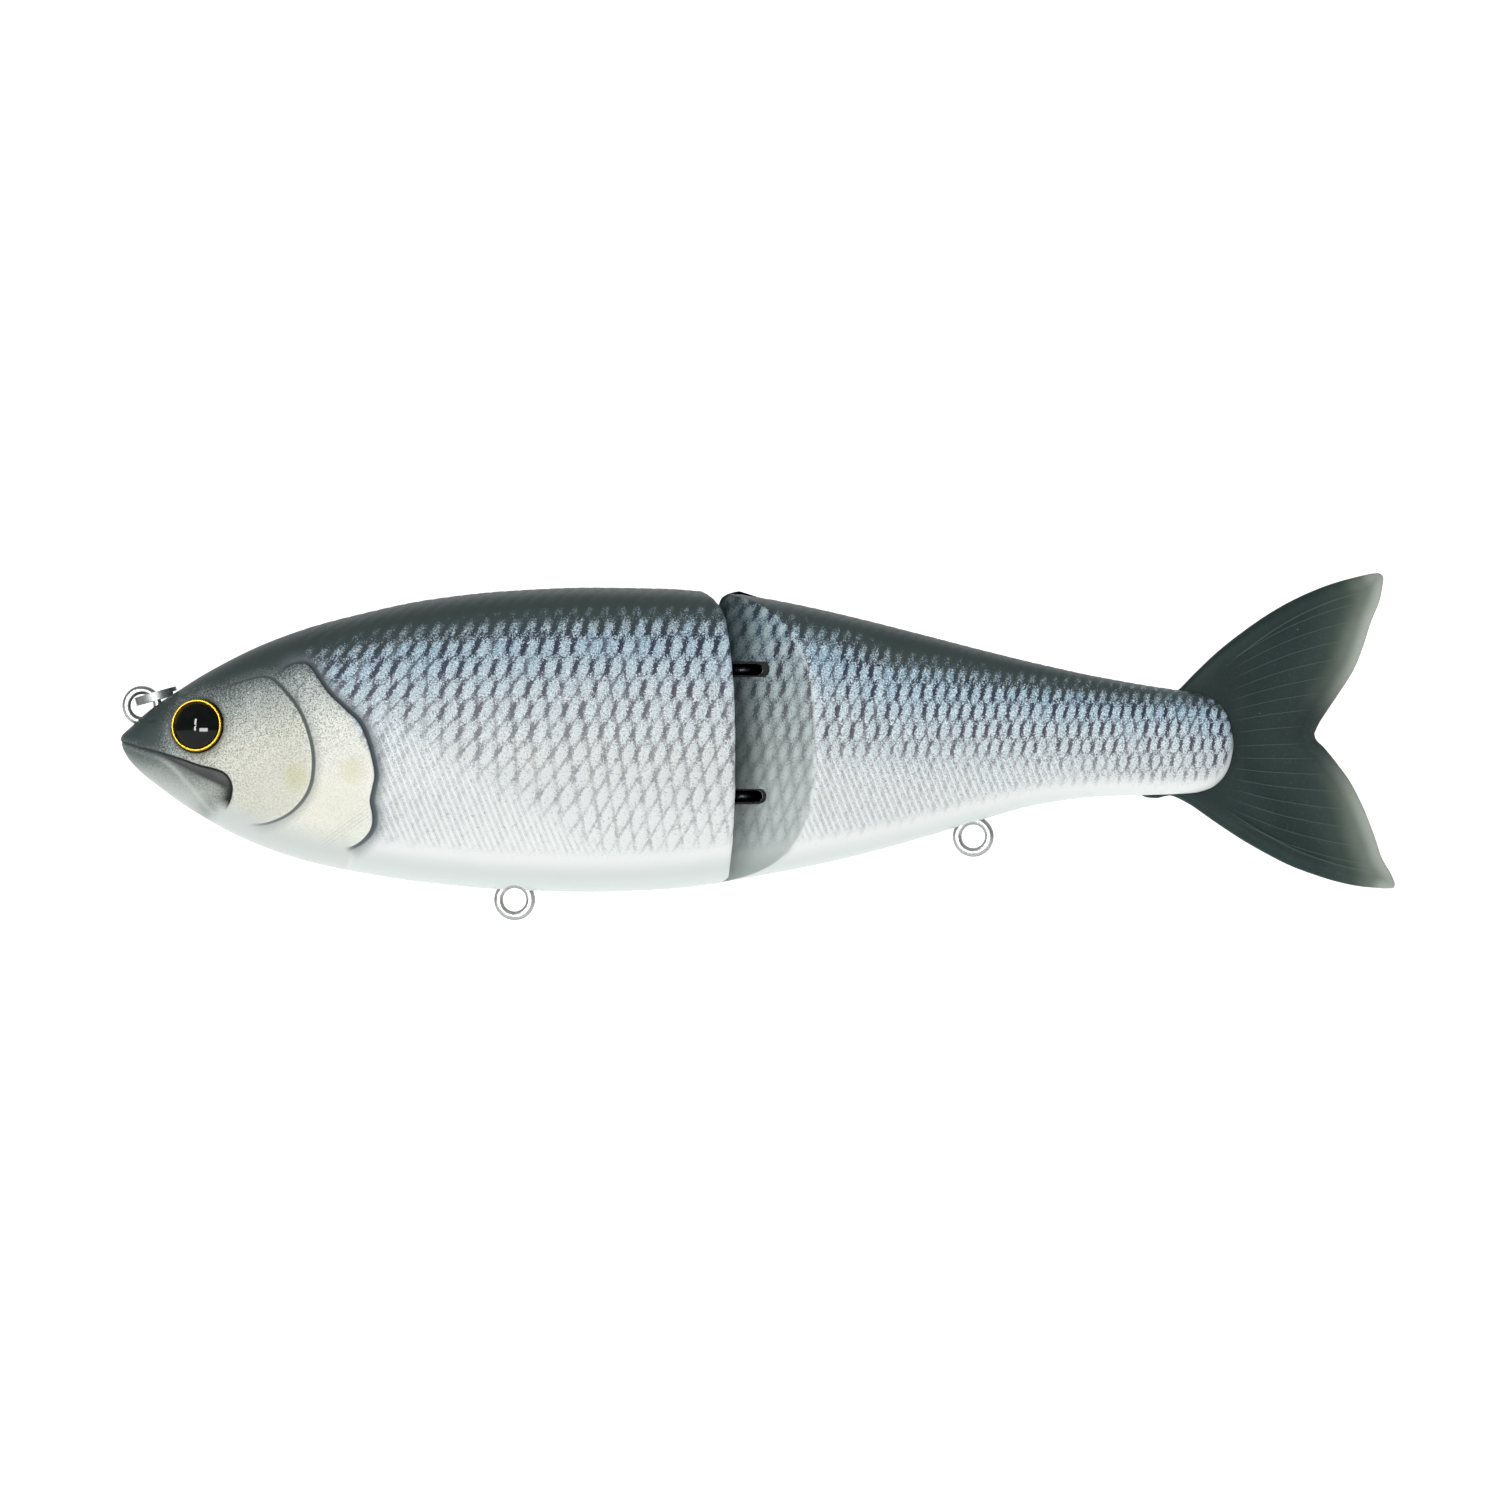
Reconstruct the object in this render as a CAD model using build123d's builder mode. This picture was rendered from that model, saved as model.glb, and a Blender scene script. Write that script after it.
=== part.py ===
from build123d import *
import os
from math import sin, cos, asin, radians, pi

os.makedirs("parts", exist_ok=True)

# Two-piece glide swimbait, 200 mm from nose to tail tip. Millimetres.
# Origin: centre of the wire eye in the nose. +X to the tail, +Z up, -Y is the fish's left side.

# ---------------------------------------------------------------- driving dimensions
WALL = 1.8                    # ABS shell wall
HINGE_X = 94.18               # vertical hinge pin axis
PIN_R = 1.30                  # hinge pin radius
PIN_HOLE_R = 1.32
HINGE_EYE_BORE = 1.40         # bore of the two hinge eyes
HINGE_WIRE_R = 0.92           # wire radius of the hinge eyes
HINGE_Z = (5.62, -14.22)      # heights of the two hinge eyes
SLOT_H = 2.3                  # height of the slots in the rear nose
SLOT_END_X = (98.5, 98.0)     # back ends of the slots
WEB_X = 97.75                 # front face of the web behind each hinge eye
NOSE_R = 3.7                  # radius of the rear section's nose about the pin
GROOVE_R = 4.4                # groove in the front section's rear face
BEVEL = 31.0                  # degrees from X, bevels beside the rear nose
SWING = 35.0                  # degrees the rear section swings to each side
EYE_POS = (8.9, -3.15)        # X, Z of the lure's eyes
EYE_Y = 7.5                   # half width of the head there
EYE_YAW, EYE_PITCH = 14.0, 6.0
EYE_R = 4.1                   # gold cup outer radius
WIRE_R = 0.70                 # hanger wire radius
HANGER_R = 2.50               # centreline radius of a hanger loop
HANGER_BORE_R = 1.85          # land inside a hanger loop
HANGER_FRONT = (58.5, -30.5)  # X, Z of the outer loop centres
HANGER_REAR = (130.5, -20.55)
KEEL_SLOPE_REAR = 18.8        # degrees, keel line under the rear hanger
NOSE_LOOP_R, NOSE_WIRE_R = 2.43, 0.66
NOSE_LOOP_GAP = 4.74          # distance between the two loop centres
NOSE_DIR = (0.629, -0.777)    # from the outer nose loop to the inner one
RING_R, RING_WIRE = 3.08, 0.64   # split ring centreline radius, square wire side
RING_PIVOT = (-0.74, 0.62)    # where the ring's wire passes through the nose eye
RING_DIR = (0.961, 0.275)     # the ring lies back on the head in this direction
TAIL_X = 172.84               # bending line of the soft tail
TAIL_T = 2.4                  # tail thickness at the root
TAIL_TIP_T = 1.1
TAIL_GAP = 0.35
LOCK_PIN = (159.2, -6.2)      # cross dowel through the tail's tongue
LOCK_R = 1.0

# Body sections: X, top Z, bottom Z, half width, upper and lower superellipse exponents
FRONT_SECTIONS = [
    (-3.09, -5.02, -6.59, 0.75, 2.10, 2.10),
    (-2.67, -4.36, -7.49, 1.51, 2.11, 2.11),
    (-1.88, -3.53, -8.71, 2.50, 2.12, 2.12),
    (-0.78, -2.46, -9.88, 3.39, 2.14, 2.14),
    (0.78, -1.09, -11.30, 4.34, 2.17, 2.16),
    (2.83, 0.46, -12.87, 5.30, 2.20, 2.20),
    (5.65, 2.28, -14.97, 6.48, 2.24, 2.26),
    (9.11, 4.49, -17.19, 7.70, 2.28, 2.35),
    (13.50, 6.94, -19.66, 9.01, 2.33, 2.46),
    (18.84, 9.50, -22.10, 10.32, 2.39, 2.58),
    (25.59, 12.00, -24.35, 11.57, 2.47, 2.74),
    (34.22, 14.33, -26.22, 12.57, 2.56, 2.91),
    (45.21, 16.62, -27.84, 13.16, 2.62, 3.04),
    (57.77, 18.00, -28.92, 13.35, 2.67, 3.15),
    (70.33, 18.50, -29.26, 13.22, 2.71, 3.23),
    (82.10, 18.32, -28.84, 12.82, 2.74, 3.28),
    (94.66, 17.13, -27.31, 12.10, 2.75, 3.30),
]
REAR_SECTIONS = [
    (89.48, 18.08, -28.01, 12.43, 2.75, 3.30),
    (99.37, 16.53, -26.28, 11.73, 2.75, 3.29),
    (105.65, 15.25, -25.05, 11.16, 2.73, 3.23),
    (113.50, 13.41, -23.23, 10.37, 2.71, 3.15),
    (122.14, 11.21, -20.85, 9.45, 2.69, 3.08),
    (131.55, 8.78, -18.01, 8.45, 2.68, 3.02),
    (140.97, 6.48, -15.49, 7.50, 2.66, 2.96),
    (150.39, 4.45, -14.28, 6.65, 2.64, 2.90),
    (159.81, 2.82, -14.03, 5.95, 2.62, 2.85),
    (164.80, 2.18, -13.80, 5.45, 2.58, 2.80),
    (167.60, 1.40, -13.10, 4.85, 2.50, 2.70),
    (169.60, -0.25, -11.55, 4.05, 2.40, 2.50),
    (170.70, -2.30, -9.60, 3.10, 2.30, 2.40),
    (171.18, -4.30, -7.55, 2.05, 2.20, 2.20),
]
# Side outline of the front section's rear edge: X, Z
FRONT_REAR_EDGE = [
    (86.40, 18.75), (87.60, 17.98), (88.84, 17.30), (89.80, 16.50), (90.52, 15.64), (91.21, 14.52), (91.68, 13.27),
    (92.40, 8.56), (92.94, 2.43), (93.12, -4.32), (93.14, -12.92), (92.73, -21.43), (92.12, -26.77), (91.80, -29.50),
]
# Side outline of the whole soft tail with its tongue: X, Z
TAIL_UPPER = [(162.59, 2.40), (165.31, 5.13), (168.73, 8.37), (172.14, 11.10), (176.22, 13.99), (180.30, 16.37),
              (184.40, 18.24), (187.79, 19.43), (191.21, 20.33), (193.09, 20.74)]
TAIL_TIP_UP = [(193.09, 20.74), (194.27, 20.77), (194.88, 20.11), (194.77, 18.76)]
TAIL_TRAIL_UP = [(194.77, 18.76), (194.27, 16.37), (192.90, 12.97), (191.71, 9.22), (190.17, 5.48),
                 (187.79, 1.73), (185.07, -2.35), (184.05, -4.40)]
TAIL_TRAIL_LO = [(184.05, -4.40), (184.38, -5.42), (185.75, -6.78), (187.79, -9.34), (189.84, -12.23),
                 (191.88, -16.33), (193.58, -20.75), (194.60, -23.81), (195.97, -26.20), (196.72, -27.90)]
TAIL_TIP_LO = [(196.72, -27.90), (196.48, -28.65), (194.95, -28.74)]
TAIL_LOWER = [(194.95, -28.74), (191.21, -28.41), (187.79, -27.72), (184.40, -26.70), (180.30, -25.18),
              (176.22, -23.12), (172.14, -20.75), (168.04, -18.02), (164.63, -15.64), (161.92, -14.27)]
TONGUE = [(161.92, -14.27), (160.75, -14.24), (159.34, -14.55), (157.61, -14.40), (156.51, -13.89),
          (156.12, -10.91), (156.12, -1.49), (157.93, 0.45), (160.60, 1.45), (162.59, 2.40)]


def sgn_pow(v, p):
    return (1 if v >= 0 else -1) * abs(v) ** p


def section_points(top, bottom, half, nu, nl, count=28):
    # closed superellipse ring of points in local (Y, Z)
    mid = (top + bottom) / 2
    out = []
    for i in range(count):
        a = 2 * pi * i / count - pi / 2
        n = nu if sin(a) >= 0 else nl
        h = (top - mid) if sin(a) >= 0 else (mid - bottom)
        out.append((half * sgn_pow(cos(a), 2 / n) if abs(cos(a)) > 1e-9 else 0.0, mid + h * sgn_pow(sin(a), 2 / n)))
    return out


def at(table, x):
    # linear interpolation of a section table
    for a, b in zip(table, table[1:]):
        if a[0] <= x <= b[0]:
            f = (x - a[0]) / (b[0] - a[0])
            return tuple(p + f * (q - p) for p, q in zip(a, b))
    raise ValueError(x)


def cap_mid(radius, z_edge, z_top):
    # midpoint of a spherical cap's profile, from its rim to its top on the axis
    rise = z_top - z_edge
    r = (radius ** 2 + rise ** 2) / (2 * rise)
    a = asin(radius / r) / 2
    return (r * sin(a), z_top - r * (1 - cos(a)))


def inset(table, stations, wall):
    rows = [at(table, x) for x in stations]
    return [(x, t - wall, b + wall, w - wall, nu, nl) for x, t, b, w, nu, nl in rows]


# ---------------------------------------------------------------- front section, both halves as one form
with BuildPart() as front_hull:
    for x, t, b, w, nu, nl in FRONT_SECTIONS:
        with BuildSketch(Plane.YZ.offset(x)):
            with BuildLine():
                Spline(*section_points(t, b, w, nu, nl), periodic=True)
            make_face()
    loft()
    # curved rear edge seen from the side
    with BuildSketch(Plane.XZ):
        with BuildLine():
            Spline(*FRONT_REAR_EDGE)
            Polyline(FRONT_REAR_EDGE[-1], (100, -29.5), (100, 24), (86.4, 24), FRONT_REAR_EDGE[0])
        make_face()
    extrude(amount=20, both=True, mode=Mode.SUBTRACT)
    # vertical groove that takes the rear section's nose
    with BuildSketch(Plane.XY.offset(-35)):
        with Locations((HINGE_X, 0)):
            Circle(GROOVE_R)
    extrude(amount=60, mode=Mode.SUBTRACT)
    # flared sides of the groove, room for the bevels at full swing
    flare = radians(BEVEL + SWING)
    flare_x, flare_y = HINGE_X - GROOVE_R * sin(flare), GROOVE_R * cos(flare)
    with BuildSketch(Plane.XY.offset(-35)):
        with BuildLine():
            Polyline((flare_x, flare_y), (flare_x + 14 * cos(flare), flare_y + 14 * sin(flare)),
                     (flare_x + 14 * cos(flare), -flare_y - 14 * sin(flare)), (flare_x, -flare_y), close=True)
        make_face()
    extrude(amount=60, mode=Mode.SUBTRACT)

with BuildPart() as front_cavity:
    for x, t, b, w, nu, nl in inset(FRONT_SECTIONS, [16.0, 18.84, 25.59, 34.22, 45.21, 57.77, 70.33, 82.10, 84.5], WALL):
        with BuildSketch(Plane.YZ.offset(x)):
            with BuildLine():
                Spline(*section_points(t, b, w, nu, nl), periodic=True)
            make_face()
    loft()

FRONT_PEGS = [(20.5, 0.5), (50.0, 9.0), (80.0, 11.5), (74.0, -20.0)]
FRONT_BALLAST = (27.0, 51.0, -18.3, 4.0)       # X start, X end, Z, radius
front_inner = (HANGER_FRONT[0], HANGER_FRONT[1] + 2 * HANGER_R)

with BuildPart() as front_ribs:
    # hanger post, bosses for the locating pegs, and two ribs that hold the ballast
    with BuildSketch(Plane.XZ):
        with Locations(front_inner):
            Circle(1.72)
        with Locations(*FRONT_PEGS):
            Circle(3.0)
        with Locations((31.0, -20.5), (47.0, -20.5)):
            Rectangle(1.8, 16)
    extrude(amount=16, both=True)
    # two thick bosses for the shanks of the hinge eyes
    with BuildSketch(Plane.XZ):
        with Locations((80.5, HINGE_Z[0]), (80.5, HINGE_Z[1])):
            Rectangle(9.0, 7.0)
    extrude(amount=3.5, both=True)

with BuildPart() as front_hollow:
    add(front_cavity.part)
    add(front_ribs.part, mode=Mode.SUBTRACT)

with BuildPart() as front_body:
    add(front_hull.part)
    add(front_hollow.part, mode=Mode.SUBTRACT)
    # ballast seat through the two ribs
    with BuildSketch(Plane.YZ.offset(FRONT_BALLAST[0] - 0.3)):
        with Locations((0, FRONT_BALLAST[2])):
            Circle(FRONT_BALLAST[3] + 0.05)
    extrude(amount=FRONT_BALLAST[1] - FRONT_BALLAST[0] + 0.6, mode=Mode.SUBTRACT)
    # head weight pocket
    with BuildSketch(Plane.YZ.offset(6.9)):
        with Locations((0, -11.6)):
            Circle(2.55)
    extrude(amount=7.3, mode=Mode.SUBTRACT)
    # holes for the shanks of the hinge eyes
    with BuildSketch(Plane.YZ.offset(77.6)):
        with Locations((0, HINGE_Z[0]), (0, HINGE_Z[1])):
            Circle(HINGE_WIRE_R + 0.06)
    extrude(amount=16, mode=Mode.SUBTRACT)
    # seats of the wire loops, open on the parting plane
    with Locations((0, 0, 0), (NOSE_LOOP_GAP * NOSE_DIR[0], 0, NOSE_LOOP_GAP * NOSE_DIR[1])):
        Torus(NOSE_LOOP_R, NOSE_WIRE_R + 0.06, rotation=(90, 0, 0), mode=Mode.SUBTRACT)
    with Locations((HANGER_FRONT[0], 0, HANGER_FRONT[1]), (front_inner[0], 0, front_inner[1])):
        Torus(HANGER_R, WIRE_R + 0.06, rotation=(90, 0, 0), mode=Mode.SUBTRACT)
    # relief in the keel, so that a hook ring passes through the loop
    with BuildSketch(Plane.XZ):
        with Locations(HANGER_FRONT):
            Circle(HANGER_BORE_R + 0.50)
    extrude(amount=16, both=True, mode=Mode.SUBTRACT)
    # eye sockets
    for side in (-1, 1):
        n = Vector(-sin(radians(EYE_YAW)) * cos(radians(EYE_PITCH)), side * cos(radians(EYE_YAW)) * cos(radians(EYE_PITCH)),
                   sin(radians(EYE_PITCH)))
        seat = Vector(EYE_POS[0], side * EYE_Y, EYE_POS[1]) - n * 2.2
        with BuildSketch(Plane(origin=seat, z_dir=n)):
            Circle(EYE_R + 0.06)
        extrude(amount=6, mode=Mode.SUBTRACT)

with BuildPart() as front_half:
    add(front_body.part)
    split(bisect_by=Plane.XZ, keep=Keep.TOP)

with BuildPart() as front_shell_left:
    add(front_half.part)
    # locating pegs on the parting plane
    with BuildSketch(Plane.XZ):
        with Locations(*FRONT_PEGS):
            Circle(1.5)
    extrude(amount=-2.6)
front_shell_left.part.label = "front_shell_left"
export_step(front_shell_left.part, "parts/front_shell_left.step")

with BuildPart() as front_shell_right:
    mirror(front_half.part, about=Plane.XZ)
    # sockets for the locating pegs
    with BuildSketch(Plane.XZ):
        with Locations(*FRONT_PEGS):
            Circle(1.56)
    extrude(amount=-2.9, mode=Mode.SUBTRACT)
front_shell_right.part.label = "front_shell_right"
export_step(front_shell_right.part, "parts/front_shell_right.step")

# ---------------------------------------------------------------- eyes: gold cup, black disc, clear dome
eye_n = Vector(-sin(radians(EYE_YAW)) * cos(radians(EYE_PITCH)), -cos(radians(EYE_YAW)) * cos(radians(EYE_PITCH)),
               sin(radians(EYE_PITCH)))
eye_seat = Vector(EYE_POS[0], -EYE_Y, EYE_POS[1]) - eye_n * 2.2
eye_u = Vector(cos(radians(EYE_YAW)), -sin(radians(EYE_YAW)), 0)
eye_plane = Plane(origin=eye_seat, x_dir=eye_u, z_dir=eye_u.cross(eye_n))
eye_axis = Axis(eye_seat, eye_n)

with BuildPart() as eye_cup_left:
    with BuildSketch(eye_plane):
        with BuildLine():
            Polyline((0, 0), (EYE_R, 0), (EYE_R, 2.35), (EYE_R - 0.12, 2.5), (EYE_R - 0.30, 2.5), (EYE_R - 0.52, 2.2),
                     (EYE_R - 0.52, 0.6), (0, 0.6), close=True)
        make_face()
    revolve(axis=eye_axis)
eye_cup_left.part.label = "eye_cup_left"
export_step(eye_cup_left.part, "parts/eye_cup_left.step")

with BuildPart() as eye_pupil_left:
    with BuildSketch(eye_plane):
        with BuildLine():
            Line((0, 0.6), (3.54, 0.6))
            Line((3.54, 0.6), (3.54, 2.0))
            ThreePointArc((3.54, 2.0), cap_mid(3.54, 2.0, 2.75), (0, 2.75))
            Line((0, 2.75), (0, 0.6))
        make_face()
    revolve(axis=eye_axis)
eye_pupil_left.part.label = "eye_pupil_left"
export_step(eye_pupil_left.part, "parts/eye_pupil_left.step")

with BuildPart() as eye_lens_left:
    with BuildSketch(eye_plane):
        with BuildLine():
            Line((3.54, 2.0), (3.54, 2.3))
            ThreePointArc((3.54, 2.3), cap_mid(3.54, 2.3, 3.45), (0, 3.45))
            Line((0, 3.45), (0, 2.75))
            ThreePointArc((0, 2.75), cap_mid(3.54, 2.0, 2.75), (3.54, 2.0))
        make_face()
    revolve(axis=eye_axis)
eye_lens_left.part.label = "eye_lens_left"
export_step(eye_lens_left.part, "parts/eye_lens_left.step")

with BuildPart() as eye_cup_right:
    mirror(eye_cup_left.part, about=Plane.XZ)
eye_cup_right.part.label = "eye_cup_right"
export_step(eye_cup_right.part, "parts/eye_cup_right.step")

with BuildPart() as eye_pupil_right:
    mirror(eye_pupil_left.part, about=Plane.XZ)
eye_pupil_right.part.label = "eye_pupil_right"
export_step(eye_pupil_right.part, "parts/eye_pupil_right.step")

with BuildPart() as eye_lens_right:
    mirror(eye_lens_left.part, about=Plane.XZ)
eye_lens_right.part.label = "eye_lens_right"
export_step(eye_lens_right.part, "parts/eye_lens_right.step")

# ---------------------------------------------------------------- wire hardware of the front section
with BuildPart() as nose_eye:
    # figure-eight wire, outer loop in the open, inner loop round a post in the head
    with Locations((0, 0, 0), (NOSE_LOOP_GAP * NOSE_DIR[0], 0, NOSE_LOOP_GAP * NOSE_DIR[1])):
        Torus(NOSE_LOOP_R, NOSE_WIRE_R, rotation=(90, 0, 0))
nose_eye.part.label = "nose_eye"
export_step(nose_eye.part, "parts/nose_eye.step")

with BuildPart() as belly_hanger_front:
    with Locations((HANGER_FRONT[0], 0, HANGER_FRONT[1]), (front_inner[0], 0, front_inner[1])):
        Torus(HANGER_R, WIRE_R, rotation=(90, 0, 0))
    with BuildSketch(Plane.XZ):
        with Locations(HANGER_FRONT):
            Circle(HANGER_BORE_R)
    extrude(amount=2, both=True, mode=Mode.SUBTRACT)
belly_hanger_front.part.label = "belly_hanger_front"
export_step(belly_hanger_front.part, "parts/belly_hanger_front.step")


with BuildPart() as hinge_eye_upper:
    # closed wire eye in the horizontal plane, with a ridged shank held in the front section
    with Locations((HINGE_X, 0, HINGE_Z[0])):
        Torus(HINGE_EYE_BORE + HINGE_WIRE_R, HINGE_WIRE_R)
    with BuildSketch(Plane.YZ.offset(78.0)):
        with Locations((0, HINGE_Z[0])):
            Circle(HINGE_WIRE_R)
    extrude(amount=HINGE_X - HINGE_EYE_BORE - HINGE_WIRE_R - 78.0)
    with BuildSketch(Plane.XY.offset(HINGE_Z[0])):
        with Locations((HINGE_X, 0)):
            Circle(HINGE_EYE_BORE + 0.02)
    extrude(amount=2, both=True, mode=Mode.SUBTRACT)
    for x in (79.5, 81.0, 82.5, 84.0, 85.5):
        with BuildSketch(Plane.YZ.offset(x)):
            with Locations((0, HINGE_Z[0])):
                Circle(HINGE_WIRE_R + 0.05)
        extrude(amount=0.5)
hinge_eye_upper.part.label = "hinge_eye_upper"
export_step(hinge_eye_upper.part, "parts/hinge_eye_upper.step")

with BuildPart() as hinge_eye_lower:
    # closed wire eye in the horizontal plane, with a ridged shank held in the front section
    with Locations((HINGE_X, 0, HINGE_Z[1])):
        Torus(HINGE_EYE_BORE + HINGE_WIRE_R, HINGE_WIRE_R)
    with BuildSketch(Plane.YZ.offset(78.0)):
        with Locations((0, HINGE_Z[1])):
            Circle(HINGE_WIRE_R)
    extrude(amount=HINGE_X - HINGE_EYE_BORE - HINGE_WIRE_R - 78.0)
    with BuildSketch(Plane.XY.offset(HINGE_Z[1])):
        with Locations((HINGE_X, 0)):
            Circle(HINGE_EYE_BORE + 0.02)
    extrude(amount=2, both=True, mode=Mode.SUBTRACT)
    for x in (79.5, 81.0, 82.5, 84.0, 85.5):
        with BuildSketch(Plane.YZ.offset(x)):
            with Locations((0, HINGE_Z[1])):
                Circle(HINGE_WIRE_R + 0.05)
        extrude(amount=0.5)
hinge_eye_lower.part.label = "hinge_eye_lower"
export_step(hinge_eye_lower.part, "parts/hinge_eye_lower.step")

with BuildPart() as nose_ballast:
    with BuildSketch(Plane.YZ.offset(7.0)):
        with Locations((0, -11.6)):
            Circle(2.5)
    extrude(amount=7.0)
    chamfer(nose_ballast.edges().filter_by(GeomType.CIRCLE), length=0.4)
nose_ballast.part.label = "nose_ballast"
export_step(nose_ballast.part, "parts/nose_ballast.step")

with BuildPart() as front_ballast:
    with BuildSketch(Plane.YZ.offset(FRONT_BALLAST[0])):
        with Locations((0, FRONT_BALLAST[2])):
            Circle(FRONT_BALLAST[3])
    extrude(amount=FRONT_BALLAST[1] - FRONT_BALLAST[0])
    chamfer(front_ballast.edges().filter_by(GeomType.CIRCLE), length=0.8)
front_ballast.part.label = "front_ballast"
export_step(front_ballast.part, "parts/front_ballast.step")

# ---------------------------------------------------------------- split ring in the nose eye
ring_centre = (RING_PIVOT[0] + RING_R * RING_DIR[0], 0, RING_PIVOT[1] + RING_R * RING_DIR[1])
ring_plane = Plane(origin=ring_centre, x_dir=(RING_DIR[0], 0, RING_DIR[1]), z_dir=(-RING_DIR[1], 0, RING_DIR[0]))
with BuildPart() as line_tie_split_ring:
    # full coil on the side away from the head
    with BuildSketch(ring_plane):
        Circle(RING_R + RING_WIRE / 2)
        Circle(RING_R - RING_WIRE / 2, mode=Mode.SUBTRACT)
    extrude(amount=RING_WIRE)
    # second coil with its two square-cut ends, next to the head
    with BuildSketch(ring_plane.offset(-RING_WIRE)):
        Circle(RING_R + RING_WIRE / 2)
        Circle(RING_R - RING_WIRE / 2, mode=Mode.SUBTRACT)
        with BuildLine():
            Polyline((0, 0), (6, -5.6), (6, 5.0), close=True)
        make_face(mode=Mode.SUBTRACT)
    extrude(amount=RING_WIRE)
    # round land on which the ring turns in the wire eye
    with BuildSketch(Plane.XZ):
        with Locations(RING_PIVOT):
            Circle(0.66)
    extrude(amount=0.9, both=True)
line_tie_split_ring.part.label = "line_tie_split_ring"
export_step(line_tie_split_ring.part, "parts/line_tie_split_ring.step")

# ---------------------------------------------------------------- rear section, both halves as one form
tan_x, tan_y = HINGE_X - NOSE_R * sin(radians(BEVEL)), NOSE_R * cos(radians(BEVEL))
wide = 14.5
wide_x = tan_x + (wide - tan_y) / (sin(radians(BEVEL)) / cos(radians(BEVEL)))

with BuildPart() as rear_plan:
    # plan outline: round nose about the pin, then bevels out to the flanks
    with BuildSketch(Plane.XY.offset(-32)):
        with BuildLine():
            Polyline((tan_x, tan_y), (wide_x, wide), (176, wide), (176, -wide), (wide_x, -wide), (tan_x, -tan_y))
            ThreePointArc((tan_x, -tan_y), (HINGE_X - NOSE_R, 0), (tan_x, tan_y))
        make_face()
    extrude(amount=54)

with BuildPart() as rear_hull:
    for x, t, b, w, nu, nl in REAR_SECTIONS:
        with BuildSketch(Plane.YZ.offset(x)):
            with BuildLine():
                Spline(*section_points(t, b, w, nu, nl), periodic=True)
            make_face()
    loft()
    add(rear_plan.part, mode=Mode.INTERSECT)
    # rounded upper corner of the nose
    with BuildSketch(Plane.XZ):
        with BuildLine():
            Polyline((88, 15.4), (90.4, 15.4), (90.82, 16.64), (91.68, 17.35), (93.3, 17.85), (93.3, 22), (88, 22), close=True)
        make_face()
    extrude(amount=16, both=True, mode=Mode.SUBTRACT)

with BuildPart() as rear_cavity:
    for x, t, b, w, nu, nl in inset(REAR_SECTIONS, [108.0, 113.5, 122.14, 131.55, 140.97, 149.0], WALL):
        with BuildSketch(Plane.YZ.offset(x)):
            with BuildLine():
                Spline(*section_points(t, b, w, nu, nl), periodic=True)
            make_face()
    loft()

REAR_PEGS = [(104.0, -4.2), (114.5, 6.0), (142.5, -4.5)]
REAR_BALLAST = (109.0, 124.0, -14.2, 3.2)
k = radians(KEEL_SLOPE_REAR)
rear_inner = (HANGER_REAR[0] - 2 * HANGER_R * sin(k), HANGER_REAR[1] + 2 * HANGER_R * cos(k))

with BuildPart() as rear_ribs:
    with BuildSketch(Plane.XZ):
        with Locations(rear_inner):
            Circle(1.72)
        with Locations(*REAR_PEGS):
            Circle(2.8)
        with Locations((112.5, -17.0), (121.5, -16.0)):
            Rectangle(1.8, 14)
    extrude(amount=14, both=True)

with BuildPart() as rear_hollow:
    add(rear_cavity.part)
    add(rear_ribs.part, mode=Mode.SUBTRACT)

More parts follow.
